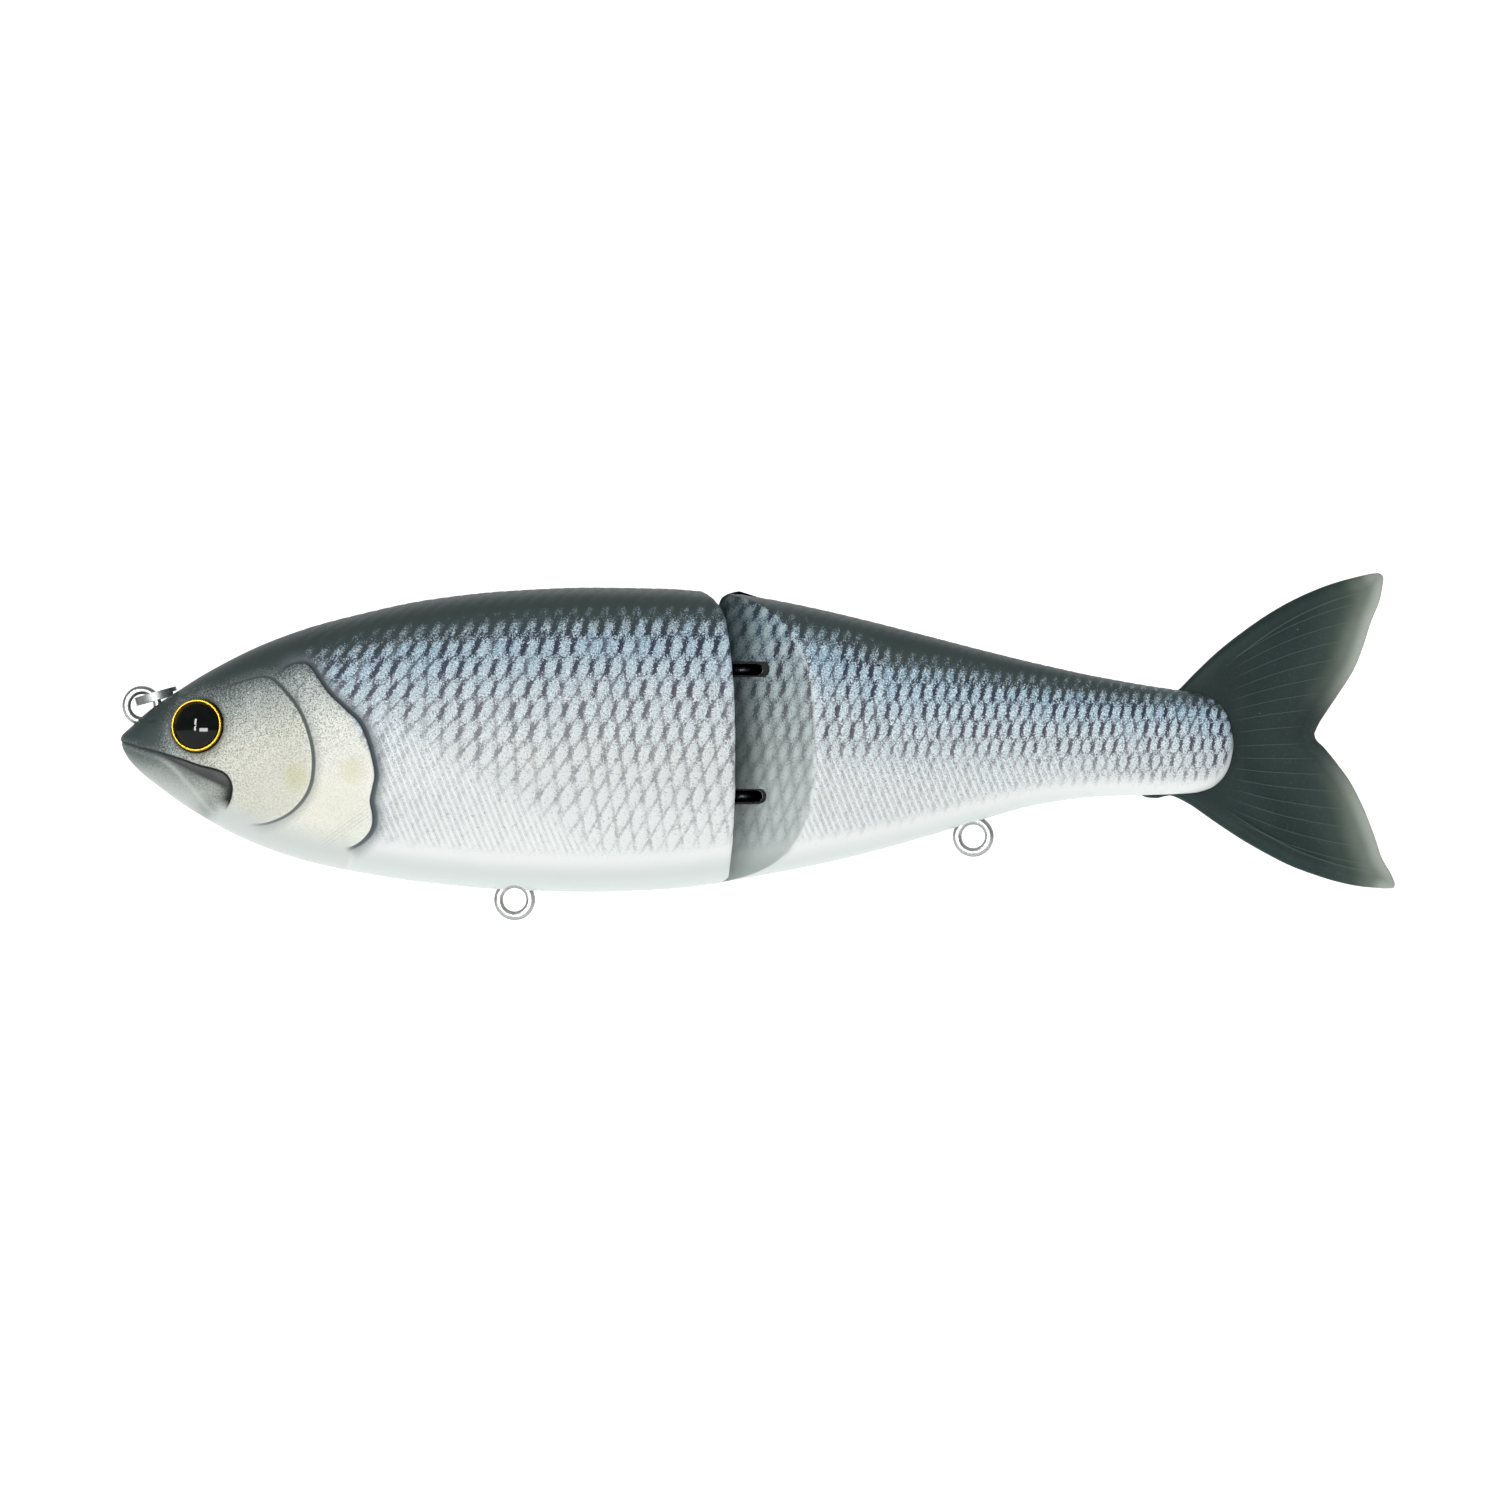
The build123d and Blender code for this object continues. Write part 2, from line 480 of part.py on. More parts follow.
with BuildPart() as rear_body:
    add(rear_hull.part)
    add(rear_hollow.part, mode=Mode.SUBTRACT)
    # ballast seat
    with BuildSketch(Plane.YZ.offset(REAR_BALLAST[0] - 0.3)):
        with Locations((0, REAR_BALLAST[2])):
            Circle(REAR_BALLAST[3] + 0.05)
    extrude(amount=REAR_BALLAST[1] - REAR_BALLAST[0] + 0.6, mode=Mode.SUBTRACT)
    # slots for the hinge eyes, right across the nose, with rounded back ends
    for z, end in zip(HINGE_Z, SLOT_END_X):
        with BuildSketch(Plane.XZ):
            with BuildLine():
                Polyline((end - SLOT_H / 2, z + SLOT_H / 2), (88, z + SLOT_H / 2), (88, z - SLOT_H / 2), (end - SLOT_H / 2, z - SLOT_H / 2))
                ThreePointArc((end - SLOT_H / 2, z - SLOT_H / 2), (end, z), (end - SLOT_H / 2, z + SLOT_H / 2))
            make_face()
        extrude(amount=16, both=True, mode=Mode.SUBTRACT)
        # web that closes the slot behind the eye, in the middle of the nose
        with BuildSketch(Plane.XZ):
            with BuildLine():
                Polyline((WEB_X, z + SLOT_H / 2 + 0.1), (end + 0.2, z + SLOT_H / 2 + 0.1), (end + 0.2, z - SLOT_H / 2 - 0.1),
                         (WEB_X, z - SLOT_H / 2 - 0.1), close=True)
            make_face()
        extrude(amount=2.2, both=True)
    # hinge pin hole
    with BuildSketch(Plane.XY.offset(-20.6)):
        with Locations((HINGE_X, 0)):
            Circle(PIN_HOLE_R)
    extrude(amount=32.7, mode=Mode.SUBTRACT)
    # seat of the hook hanger
    with Locations((HANGER_REAR[0], 0, HANGER_REAR[1]), (rear_inner[0], 0, rear_inner[1])):
        Torus(HANGER_R, WIRE_R + 0.06, rotation=(90, 0, 0), mode=Mode.SUBTRACT)
    with BuildSketch(Plane.XZ):
        with Locations(HANGER_REAR):
            Circle(HANGER_BORE_R + 0.50)
    extrude(amount=16, both=True, mode=Mode.SUBTRACT)
    # slot for the tail's tongue, open to the rear and underneath
    with BuildSketch(Plane.XZ):
        with BuildLine():
            Polyline((155.85, -16), (155.85, 0.1), (157.6, 0.9), (161.6, 2.3), (161.6, 5), (175, 5), (175, -16), close=True)
        make_face()
    extrude(amount=TAIL_T / 2 + 0.12, both=True, mode=Mode.SUBTRACT)
    # hole for the cross dowel, blind in both halves
    with BuildSketch(Plane.XZ):
        with Locations(LOCK_PIN):
            Circle(LOCK_R + 0.02)
    extrude(amount=4.5, both=True, mode=Mode.SUBTRACT)

with BuildPart() as rear_half:
    add(rear_body.part)
    split(bisect_by=Plane.XZ, keep=Keep.TOP)

with BuildPart() as rear_shell_left:
    add(rear_half.part)
    with BuildSketch(Plane.XZ):
        with Locations(*REAR_PEGS):
            Circle(1.4)
    extrude(amount=-2.4)
rear_shell_left.part.label = "rear_shell_left"
export_step(rear_shell_left.part, "parts/rear_shell_left.step")

with BuildPart() as rear_shell_right:
    mirror(rear_half.part, about=Plane.XZ)
    with BuildSketch(Plane.XZ):
        with Locations(*REAR_PEGS):
            Circle(1.46)
    extrude(amount=-2.7, mode=Mode.SUBTRACT)
rear_shell_right.part.label = "rear_shell_right"
export_step(rear_shell_right.part, "parts/rear_shell_right.step")

with BuildPart() as hinge_pin:
    with BuildSketch(Plane.XY.offset(-20.4)):
        with Locations((HINGE_X, 0)):
            Circle(PIN_R)
    extrude(amount=32.3)
    chamfer(hinge_pin.edges().filter_by(GeomType.CIRCLE), length=0.3)
hinge_pin.part.label = "hinge_pin"
export_step(hinge_pin.part, "parts/hinge_pin.step")

with BuildPart() as belly_hanger_rear:
    with Locations((HANGER_REAR[0], 0, HANGER_REAR[1]), (rear_inner[0], 0, rear_inner[1])):
        Torus(HANGER_R, WIRE_R, rotation=(90, 0, 0))
    with BuildSketch(Plane.XZ):
        with Locations(HANGER_REAR):
            Circle(HANGER_BORE_R)
    extrude(amount=2, both=True, mode=Mode.SUBTRACT)
belly_hanger_rear.part.label = "belly_hanger_rear"
export_step(belly_hanger_rear.part, "parts/belly_hanger_rear.step")

with BuildPart() as rear_ballast:
    with BuildSketch(Plane.YZ.offset(REAR_BALLAST[0])):
        with Locations((0, REAR_BALLAST[2])):
            Circle(REAR_BALLAST[3])
    extrude(amount=REAR_BALLAST[1] - REAR_BALLAST[0])
    chamfer(rear_ballast.edges().filter_by(GeomType.CIRCLE), length=0.7)
rear_ballast.part.label = "rear_ballast"
export_step(rear_ballast.part, "parts/rear_ballast.step")

with BuildPart() as tail_lock_pin:
    with BuildSketch(Plane.XZ):
        with Locations(LOCK_PIN):
            Circle(LOCK_R)
    extrude(amount=4.3, both=True)
tail_lock_pin.part.label = "tail_lock_pin"
export_step(tail_lock_pin.part, "parts/tail_lock_pin.step")

# ---------------------------------------------------------------- soft tail: tongue and free blade
with BuildPart() as tail_blank:
    with BuildSketch(Plane.XZ):
        with BuildLine():
            Spline(*TAIL_UPPER)
            Spline(*TAIL_TIP_UP)
            Spline(*TAIL_TRAIL_UP)
            Spline(*TAIL_TRAIL_LO)
            Spline(*TAIL_TIP_LO)
            Spline(*TAIL_LOWER)
            Polyline(*TONGUE)
        make_face()
    extrude(amount=TAIL_T / 2, both=True)

with BuildPart() as tail_root:
    add(tail_blank.part)
    with BuildSketch(Plane.XY.offset(-35)):
        with BuildLine():
            root_end = TAIL_X - TAIL_T / 2 - TAIL_GAP
            Polyline((150, -3), (root_end, -3), (root_end, 3), (150, 3), close=True)
        make_face()
    extrude(amount=70, mode=Mode.INTERSECT)
    with BuildSketch(Plane.XZ):
        with Locations(LOCK_PIN):
            Circle(LOCK_R + 0.02)
    extrude(amount=3, both=True, mode=Mode.SUBTRACT)
tail_root.part.label = "tail_root"
export_step(tail_root.part, "parts/tail_root.step")

with BuildPart() as tail_fin:
    add(tail_blank.part)
    # plan outline: half-round front edge on the bending line, tapering to the tips
    with BuildSketch(Plane.XY.offset(-35)):
        with BuildLine():
            Polyline((TAIL_X, TAIL_T / 2), (198, TAIL_TIP_T / 2), (198, -TAIL_TIP_T / 2), (TAIL_X, -TAIL_T / 2))
            ThreePointArc((TAIL_X, -TAIL_T / 2), (TAIL_X - TAIL_T / 2, 0), (TAIL_X, TAIL_T / 2))
        make_face()
    extrude(amount=70, mode=Mode.INTERSECT)
tail_fin.part.label = "tail_fin"
export_step(tail_fin.part, "parts/tail_fin.step")
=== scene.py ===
from math import sin, cos, tan, radians, pi

import bmesh
import bpy
import numpy as np
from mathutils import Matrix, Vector, kdtree


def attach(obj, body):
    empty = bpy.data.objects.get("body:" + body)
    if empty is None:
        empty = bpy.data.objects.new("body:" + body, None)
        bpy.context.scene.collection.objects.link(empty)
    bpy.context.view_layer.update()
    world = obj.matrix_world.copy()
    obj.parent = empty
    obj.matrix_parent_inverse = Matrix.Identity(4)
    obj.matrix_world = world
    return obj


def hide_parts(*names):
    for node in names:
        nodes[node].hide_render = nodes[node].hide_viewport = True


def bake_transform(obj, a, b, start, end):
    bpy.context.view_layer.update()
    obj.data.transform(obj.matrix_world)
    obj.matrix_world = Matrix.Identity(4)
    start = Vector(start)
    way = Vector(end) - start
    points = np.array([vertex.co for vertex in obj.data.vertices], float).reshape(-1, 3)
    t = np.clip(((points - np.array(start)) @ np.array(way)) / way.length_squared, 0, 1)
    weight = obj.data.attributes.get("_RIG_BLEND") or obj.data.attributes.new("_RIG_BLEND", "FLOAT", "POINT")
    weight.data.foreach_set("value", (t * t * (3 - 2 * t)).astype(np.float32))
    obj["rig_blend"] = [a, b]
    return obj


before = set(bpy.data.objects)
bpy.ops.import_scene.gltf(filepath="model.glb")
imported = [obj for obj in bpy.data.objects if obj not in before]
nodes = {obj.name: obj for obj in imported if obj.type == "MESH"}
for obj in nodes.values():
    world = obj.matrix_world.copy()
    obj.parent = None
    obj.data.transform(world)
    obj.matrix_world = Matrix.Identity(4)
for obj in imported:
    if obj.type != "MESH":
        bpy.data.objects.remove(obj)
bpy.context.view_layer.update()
scene = bpy.context.scene
MM = 0.001

# ------------------------------------------------------------------ shape tables, millimetres
HINGE_X, GROOVE_R, NOSE_R, BEVEL, SWING = 94.18, 4.4, 3.7, radians(31.0), radians(35.0)
HINGE_Z, SLOT_END_X, SLOT_H = (5.62, -14.22), (98.5, 98.0), 2.3
EYE_POS, EYE_Y, EYE_YAW, EYE_PITCH = (8.9, -3.15), 7.5, radians(14.0), radians(6.0)
HANGER_FRONT, HANGER_REAR = (58.5, -30.5), (130.5, -20.55)
FRONT_SECTIONS = [
    (-3.16, -5.75, -5.86, 0.0, 2.10, 2.10),
    (-3.09, -5.02, -6.59, 0.75, 2.10, 2.10), (-2.67, -4.36, -7.49, 1.51, 2.11, 2.11),
    (-1.88, -3.53, -8.71, 2.50, 2.12, 2.12), (-0.78, -2.46, -9.88, 3.39, 2.14, 2.14),
    (0.78, -1.09, -11.30, 4.34, 2.17, 2.16), (2.83, 0.46, -12.87, 5.30, 2.20, 2.20),
    (5.65, 2.28, -14.97, 6.48, 2.24, 2.26), (9.11, 4.49, -17.19, 7.70, 2.28, 2.35),
    (13.50, 6.94, -19.66, 9.01, 2.33, 2.46), (18.84, 9.50, -22.10, 10.32, 2.39, 2.58),
    (25.59, 12.00, -24.35, 11.57, 2.47, 2.74), (34.22, 14.33, -26.22, 12.57, 2.56, 2.91),
    (45.21, 16.62, -27.84, 13.16, 2.62, 3.04), (57.77, 18.00, -28.92, 13.35, 2.67, 3.15),
    (70.33, 18.50, -29.26, 13.22, 2.71, 3.23), (82.10, 18.32, -28.84, 12.82, 2.74, 3.28),
    (94.66, 17.13, -27.31, 12.10, 2.75, 3.30)]
REAR_SECTIONS = [
    (89.48, 18.08, -28.01, 12.43, 2.75, 3.30), (99.37, 16.53, -26.28, 11.73, 2.75, 3.29),
    (105.65, 15.25, -25.05, 11.16, 2.73, 3.23), (113.50, 13.41, -23.23, 10.37, 2.71, 3.15),
    (122.14, 11.21, -20.85, 9.45, 2.69, 3.08), (131.55, 8.78, -18.01, 8.45, 2.68, 3.02),
    (140.97, 6.48, -15.49, 7.50, 2.66, 2.96), (150.39, 4.45, -14.28, 6.65, 2.64, 2.90),
    (159.81, 2.82, -14.03, 5.95, 2.62, 2.85), (164.80, 2.18, -13.80, 5.45, 2.58, 2.80),
    (167.60, 1.40, -13.10, 4.85, 2.50, 2.70), (169.60, -0.25, -11.55, 4.05, 2.40, 2.50),
    (170.70, -2.30, -9.60, 3.10, 2.30, 2.40), (171.18, -4.30, -7.55, 2.05, 2.20, 2.20),
    (171.34, -5.80, -6.00, 0.0, 2.20, 2.20)]
FRONT_REAR_EDGE = [
    (86.40, 18.75), (87.60, 17.98), (88.84, 17.30), (89.80, 16.50), (90.52, 15.64), (91.21, 14.52), (91.68, 13.27),
    (92.40, 8.56), (92.94, 2.43), (93.12, -4.32), (93.14, -12.92), (92.73, -21.43), (92.12, -26.77), (91.80, -29.50)]
TAIL_UPPER = [(162.59, 2.40), (165.31, 5.13), (168.73, 8.37), (172.14, 11.10), (176.22, 13.99), (180.30, 16.37),
              (184.40, 18.24), (187.79, 19.43), (191.21, 20.33), (193.09, 20.74)]
TAIL_TIP_UP = [(193.09, 20.74), (194.27, 20.77), (194.88, 20.11), (194.77, 18.76)]
TAIL_TRAIL_UP = [(194.77, 18.76), (194.27, 16.37), (192.90, 12.97), (191.71, 9.22), (190.17, 5.48),
                 (187.79, 1.73), (185.07, -2.35), (184.05, -4.40)]
TAIL_TRAIL_LO = [(184.05, -4.40), (184.38, -5.42), (185.75, -6.78), (187.79, -9.34), (189.84, -12.23),
                 (191.88, -16.33), (193.58, -20.75), (194.60, -23.81), (195.97, -26.20), (196.72, -27.90)]
TAIL_TIP_LO = [(196.72, -27.90), (196.48, -28.65), (194.95, -28.74)]
TAIL_LOWER = [(194.95, -28.74), (191.21, -28.41), (187.79, -27.72), (184.40, -26.70), (180.30, -25.18),
              (176.22, -23.12), (172.14, -20.75), (168.04, -18.02), (164.63, -15.64), (161.92, -14.27)]
TONGUE_LO = [(161.92, -14.27), (160.75, -14.24), (159.34, -14.55), (157.61, -14.40), (156.51, -13.89)]
TONGUE_UP = [(156.12, -1.49), (157.93, 0.45), (160.60, 1.45), (162.59, 2.40)]

# relief lines on the head: X, Z
GILL_1 = [(12.56, 2.12), (15.86, 3.30), (18.84, 4.08), (20.88, 3.77), (23.23, 1.49), (25.27, -1.33), (26.53, -4.63),
          (27.16, -8.08), (26.92, -11.70), (25.75, -14.36), (23.39, -16.72), (20.09, -18.13), (16.64, -18.60)]
GILL_2 = [(21.66, 4.16), (23.23, 5.65), (25.12, 6.28), (26.69, 5.89), (28.10, 4.00), (29.83, 1.65), (32.34, -0.71),
          (34.54, -2.90), (35.95, -6.20), (36.89, -10.44), (36.58, -12.79), (36.19, -14.84), (36.58, -17.19),
          (36.26, -19.23), (34.54, -21.11), (31.87, -22.37)]
MOUTH_UP = [(-4.4, -4.9), (-3.06, -5.42), (-0.31, -6.36), (2.83, -7.14), (5.97, -8.08), (9.11, -9.18), (12.24, -9.97),
            (13.81, -10.91), (14.60, -12.64), (14.29, -14.84), (13.19, -16.72)]
MOUTH_LO = [(-4.4, -5.5), (-3.14, -6.04), (0.0, -7.3), (3.30, -8.56), (5.2, -10.0), (6.91, -11.85), (9.42, -14.68), (11.3, -16.88)]
# lower border of the dark back colour: X, Z
BACK_FRONT = [(-6.0, -5.0), (-3.0, -5.6), (1.5, -7.0), (3.4, -5.6), (4.2, -2.4), (5.8, 0.6), (8.6, 2.2), (12.4, 3.0),
              (18.0, 4.6), (24.8, 6.36), (40.5, 10.28), (56.2, 12.17), (71.9, 13.1), (96.0, 13.1)]
BACK_REAR = [(84.0, 14.6), (96.0, 13.4), (108.0, 10.3), (111.1, 9.5), (119.0, 6.36), (126.8, 5.26), (134.7, 3.69),
             (150.4, 1.65), (166.1, 0.39), (176.0, -1.5)]


# ------------------------------------------------------------------ small maths helpers
def pchip(xs, ys, xq):
    xs, ys = np.asarray(xs, float), np.asarray(ys, float)
    h = np.diff(xs)
    d = np.diff(ys) / h
    m = np.zeros_like(ys)
    w1, w2 = 2 * h[1:] + h[:-1], h[1:] + 2 * h[:-1]
    with np.errstate(divide="ignore", invalid="ignore"):
        mm = (w1 + w2) / (w1 / d[:-1] + w2 / d[1:])
    m[1:-1] = np.where(d[:-1] * d[1:] > 0, mm, 0)
    m[0], m[-1] = d[0], d[-1]
    xq = np.clip(xq, xs[0], xs[-1])
    k = np.clip(np.searchsorted(xs, xq, side="right") - 1, 0, len(xs) - 2)
    t = (xq - xs[k]) / h[k]
    return ((2 * t**3 - 3 * t**2 + 1) * ys[k] + (t**3 - 2 * t**2 + t) * h[k] * m[k]
            + (-2 * t**3 + 3 * t**2) * ys[k + 1] + (t**3 - t**2) * h[k] * m[k + 1])


def smooth(lo, hi, x):
    t = np.clip((x - lo) / (hi - lo), 0, 1)
    return t * t * (3 - 2 * t)


def curve(points, count):
    """points joined by a smooth curve, evenly spaced along it"""
    p = np.asarray(points, float)
    q = np.vstack([2 * p[0] - p[1], p, 2 * p[-1] - p[-2]])
    out = []
    for k in range(1, len(q) - 2):
        for t in np.linspace(0, 1, 24, endpoint=False):
            a = 2 * q[k] + (q[k + 1] - q[k - 1]) * t
            b = (2 * q[k - 1] - 5 * q[k] + 4 * q[k + 1] - q[k + 2]) * t**2
            c = (-q[k - 1] + 3 * q[k] - 3 * q[k + 1] + q[k + 2]) * t**3
            out.append(0.5 * (a + b + c))
    out.append(p[-1])
    out = np.array(out)
    s = np.concatenate([[0], np.cumsum(np.hypot(*np.diff(out, axis=0).T))])
    t = np.linspace(0, s[-1], count)
    return np.column_stack([np.interp(t, s, out[:, 0]), np.interp(t, s, out[:, 1])])


def line_field(points, x, z, count=70):
    """distance to a line, which side of it (+ on its left going along it), and how far along"""
    p = curve(points, count)
    best = np.full(x.shape, 1e9)
    side = np.zeros(x.shape)
    along = np.zeros(x.shape)
    for k in range(len(p) - 1):
        a, d = p[k], p[k + 1] - p[k]
        t = np.clip(((x - a[0]) * d[0] + (z - a[1]) * d[1]) / (d @ d), 0, 1)
        dx, dz = x - a[0] - t * d[0], z - a[1] - t * d[1]
        r = np.hypot(dx, dz)
        m = r < best
        best = np.where(m, r, best)
        side = np.where(m, np.sign(d[0] * (z - a[1]) - d[1] * (x - a[0])), side)
        along = np.where(m, (k + t) / (len(p) - 1), along)
    return best, side, along


# ------------------------------------------------------------------ hull rows: evenly spaced round each section
ROWS = 212          # intervals from keel to back
V = np.linspace(0, 1, ROWS + 1)


def hull_rows(sections, s_of, n=1700, wall=0.0):
    sec = np.array(sections, float)
    s_nodes = s_of(sec[:, 0])
    grid = np.linspace(s_nodes[0], s_nodes[-1], n)
    t, b, w, nu, nl = [pchip(s_nodes, sec[:, k], grid) for k in range(1, 6)]
    t, b, w = t - wall, b + wall, np.maximum(w - wall, 0)
    th = np.linspace(-pi / 2, pi / 2, 1201)
    ct, st = np.abs(np.cos(th)), np.sin(th)
    ct[0] = ct[-1] = 0
    mid, h = (t + b) / 2, (t - b) / 2
    Y, Z, S = [np.empty((n, ROWS + 1)) for _ in range(3)]
    for i in range(n):
        e = np.where(st >= 0, 2 / nu[i], 2 / nl[i])
        y = w[i] * ct**e
        z = mid[i] + h[i] * np.sign(st) * np.abs(st)**e
        arc = np.concatenate([[0], np.cumsum(np.hypot(np.diff(y), np.diff(z)))])
        q = V * arc[-1]
        Y[i], Z[i], S[i] = np.interp(q, arc, y), np.interp(q, arc, z), q - arc[600] + mid[i]
    return grid, Y, Z, S, b


class Hull:
    def __init__(self, sections, s_of, wall=0.0):
        self.s_of = s_of
        self.grid, self.Y, self.Z, self.S, self.b = hull_rows(sections, s_of, wall=wall)

    def at(self, x):
        """x is (columns, rows); returns y, z and the height measured round the skin"""
        s = self.s_of(x)
        out = [np.empty(s.shape) for _ in range(3)]
        for j in range(ROWS + 1):
            for o, T in zip(out, (self.Y, self.Z, self.S)):
                o[:, j] = np.interp(s[:, j], self.grid, T[:, j])
        return out

    def bottom(self, x):
        return np.interp(self.s_of(x), self.grid, self.b)


front_hull = Hull(FRONT_SECTIONS, lambda x: np.sqrt(np.maximum(x + 3.16, 0)))
rear_hull = Hull(REAR_SECTIONS, lambda x: -np.sqrt(np.maximum(171.34 - x, 0)))


def rows_like(v):
    return np.repeat(np.asarray(v, float)[:, None], ROWS + 1, axis=1)


# ------------------------------------------------------------------ front half: outer skin, y >= 0
def groove(y):
    f = BEVEL + SWING
    fx, fy = HINGE_X - GROOVE_R * sin(f), GROOVE_R * cos(f)
    y = np.abs(y)
    return np.where(y < fy, HINGE_X - np.sqrt(np.maximum(GROOVE_R**2 - np.minimum(y, fy)**2, 0)),
                    fx + (y - fy) / tan(f))


edge = np.array(sorted(FRONT_REAR_EDGE, key=lambda p: p[1]))
xe = np.full((1, ROWS + 1), 92.0)
for _ in range(60):
    y, z, s = front_hull.at(xe)
    xe = 0.5 * xe + 0.5 * np.minimum(np.interp(z, edge[:, 1], edge[:, 0]), groove(y))
xe = xe[0]
ye = front_hull.at(xe[None, :])[0][0]
fr = np.minimum(0.7, 0.45 * ye)                      # fillet round the rear edge
x_nose = np.linspace(0, np.sqrt(4.16), 17)[:-1]**2 - 3.16
x_flank = np.linspace(1.0, 92.44, 365)
xn = np.concatenate([x_nose, x_flank])
far = np.clip((xn - 60) / (92.44 - 60), 0, None)
X = np.where(xn[:, None] > 60, 60 + far[:, None] * (xe - fr - 60)[None, :], xn[:, None])
Y, Z, S = front_hull.at(X)
y0, z0, s0 = Y[-1], Z[-1], S[-1]
cols = [(X, Y, Z, S)]
for k in range(1, 7):
    a = k * pi / 12
    y = y0 - fr + fr * cos(a)
    cols.append([v[None, :] for v in (np.minimum(xe - fr + fr * sin(a), groove(y)), y, z0, s0)])
for k in range(1, 23):
    y = (y0 - fr) * (1 - k / 22)
    cols.append([v[None, :] for v in (np.minimum(xe, groove(y)), y, z0, s0)])
FX, FY, FZ, FS = [np.concatenate([c[k] for c in cols]) for k in range(4)]
# ------------------------------------------------------------------ rear half: outer skin, y >= 0
tan_x, tan_y = HINGE_X - NOSE_R * sin(BEVEL), NOSE_R * cos(BEVEL)


def plan_y(x):
    """half width of the plan outline at x"""
    c = np.sqrt(np.maximum(NOSE_R**2 - (x - HINGE_X)**2, 0))
    return np.where(x < tan_x, np.where(x < HINGE_X - NOSE_R, 0, c), tan_y + (x - tan_x) * tan(BEVEL))


lo, hi = np.full(ROWS + 1, HINGE_X - NOSE_R), np.full(ROWS + 1, 118.0)
for _ in range(46):
    m = (lo + hi) / 2
    y = rear_hull.at(m[None, :])[0][0]
    inside = plan_y(m) < y
    lo, hi = np.where(inside, m, lo), np.where(inside, hi, m)
xb = (lo + hi) / 2
yb, zb, sb = [v[0] for v in rear_hull.at(xb[None, :])]
arc_end = NOSE_R * (pi / 2 - BEVEL)
path_len = np.where(xb < tan_x, NOSE_R * np.arccos(np.clip((HINGE_X - xb) / NOSE_R, -1, 1)),
                    arc_end + (xb - tan_x) / cos(BEVEL))
cols = []
for k in range(0, 88):
    L = path_len * k / 88
    a = np.minimum(L, arc_end) / NOSE_R
    x = np.where(L < arc_end, HINGE_X - NOSE_R * np.cos(a), tan_x + (L - arc_end) * cos(BEVEL))
    y = np.where(L < arc_end, NOSE_R * np.sin(a), tan_y + (L - arc_end) * sin(BEVEL))
    cols.append([v[None, :] for v in (x, y, zb, sb)])
xn = np.concatenate([np.linspace(108.6, 167.0, 233), 171.34 - (np.linspace(np.sqrt(4.34), 0, 25)[1:])**2])
g = (xn - 108.6) / (171.34 - 108.6)
X = xb[None, :] + (171.34 - xb)[None, :] * g[:, None]
Y, Z, S = rear_hull.at(X)
cols.append((X, Y, Z, S))
RX, RY, RZ, RS = [np.concatenate([c[k] for c in cols]) for k in range(4)]
BEV = np.zeros(RX.shape)
BEV[:88] = 1
# rounded upper corner of the nose
corner = pchip([14.8, 15.6, 16.64, 17.35, 17.85, 18.2], [90.2, 90.5, 90.85, 91.7, 93.3, 96.5], RZ)
RX = np.where(RZ > 15.0, np.maximum(RX, corner), RX)
# round the bevel's edge over about a millimetre
band = np.exp(-((np.arange(RX.shape[0]) - 88) / 7.0)**2)[:, None]
for _ in range(16):
    for A in (RX, RY, RZ):
        A[1:-1] += 0.5 * band[1:-1] * (0.5 * (A[:-2] + A[2:]) - A[1:-1])
for _ in range(3):
    BEV[1:-1] = 0.25 * BEV[:-2] + 0.5 * BEV[1:-1] + 0.25 * BEV[2:]


def normals(X, Y, Z):
    P = np.stack([X, Y, Z], axis=-1)
    du, dv = np.gradient(P, axis=0), np.gradient(P, axis=1)
    N = np.cross(du, dv)
    L = np.linalg.norm(N, axis=-1, keepdims=True)
    N = N / np.maximum(L, 1e-9)
    flip = np.sign(np.mean(N[:, 60:150, 1]))
    return N * flip


# ------------------------------------------------------------------ scale lattice, the same on both sections
def lattice(x, s):
    """p and q: corners of the diamond scales lie where both are whole numbers"""
    px, pv = [20, 94, 106, 125, 172], [2.56, 2.46, 2.02, 1.88, 1.64]
    pitch = np.interp(x, px, pv)
    xs = np.linspace(0, 180, 1801)
    turn = np.concatenate([[0], np.cumsum(0.1 / np.interp(0.5 * (xs[1:] + xs[:-1]), px, pv))])
    a = np.interp(x, xs, turn) - np.interp(60.28, xs, turn)
    row = np.interp(x, [20, 94, 125, 172], [3.40, 3.35, 3.0, 2.45])
    top = np.interp(x, [20, 60, 94, 172], [8.6, 9.37, 9.2, 6.3])
    b = (top - s) / row
    lean = np.radians(np.interp(x, [26, 42, 70, 180], [36, 24, 12.5, 11]))
    a = a + np.tan(lean) * (top - s) / pitch
    return a - b / 2, a + b / 2


def scales(p, q):
    fp, fq = p - np.floor(p), q - np.floor(q)
    return (1 - np.abs(2 * fp - 1)**4) * (1 - np.abs(2 * fq - 1)**4)


def ribs(x, s):
    phase = (x + s * 0.40) / 1.02
    w = np.abs(2 * (phase - np.floor(phase)) - 1)
    return phase, w


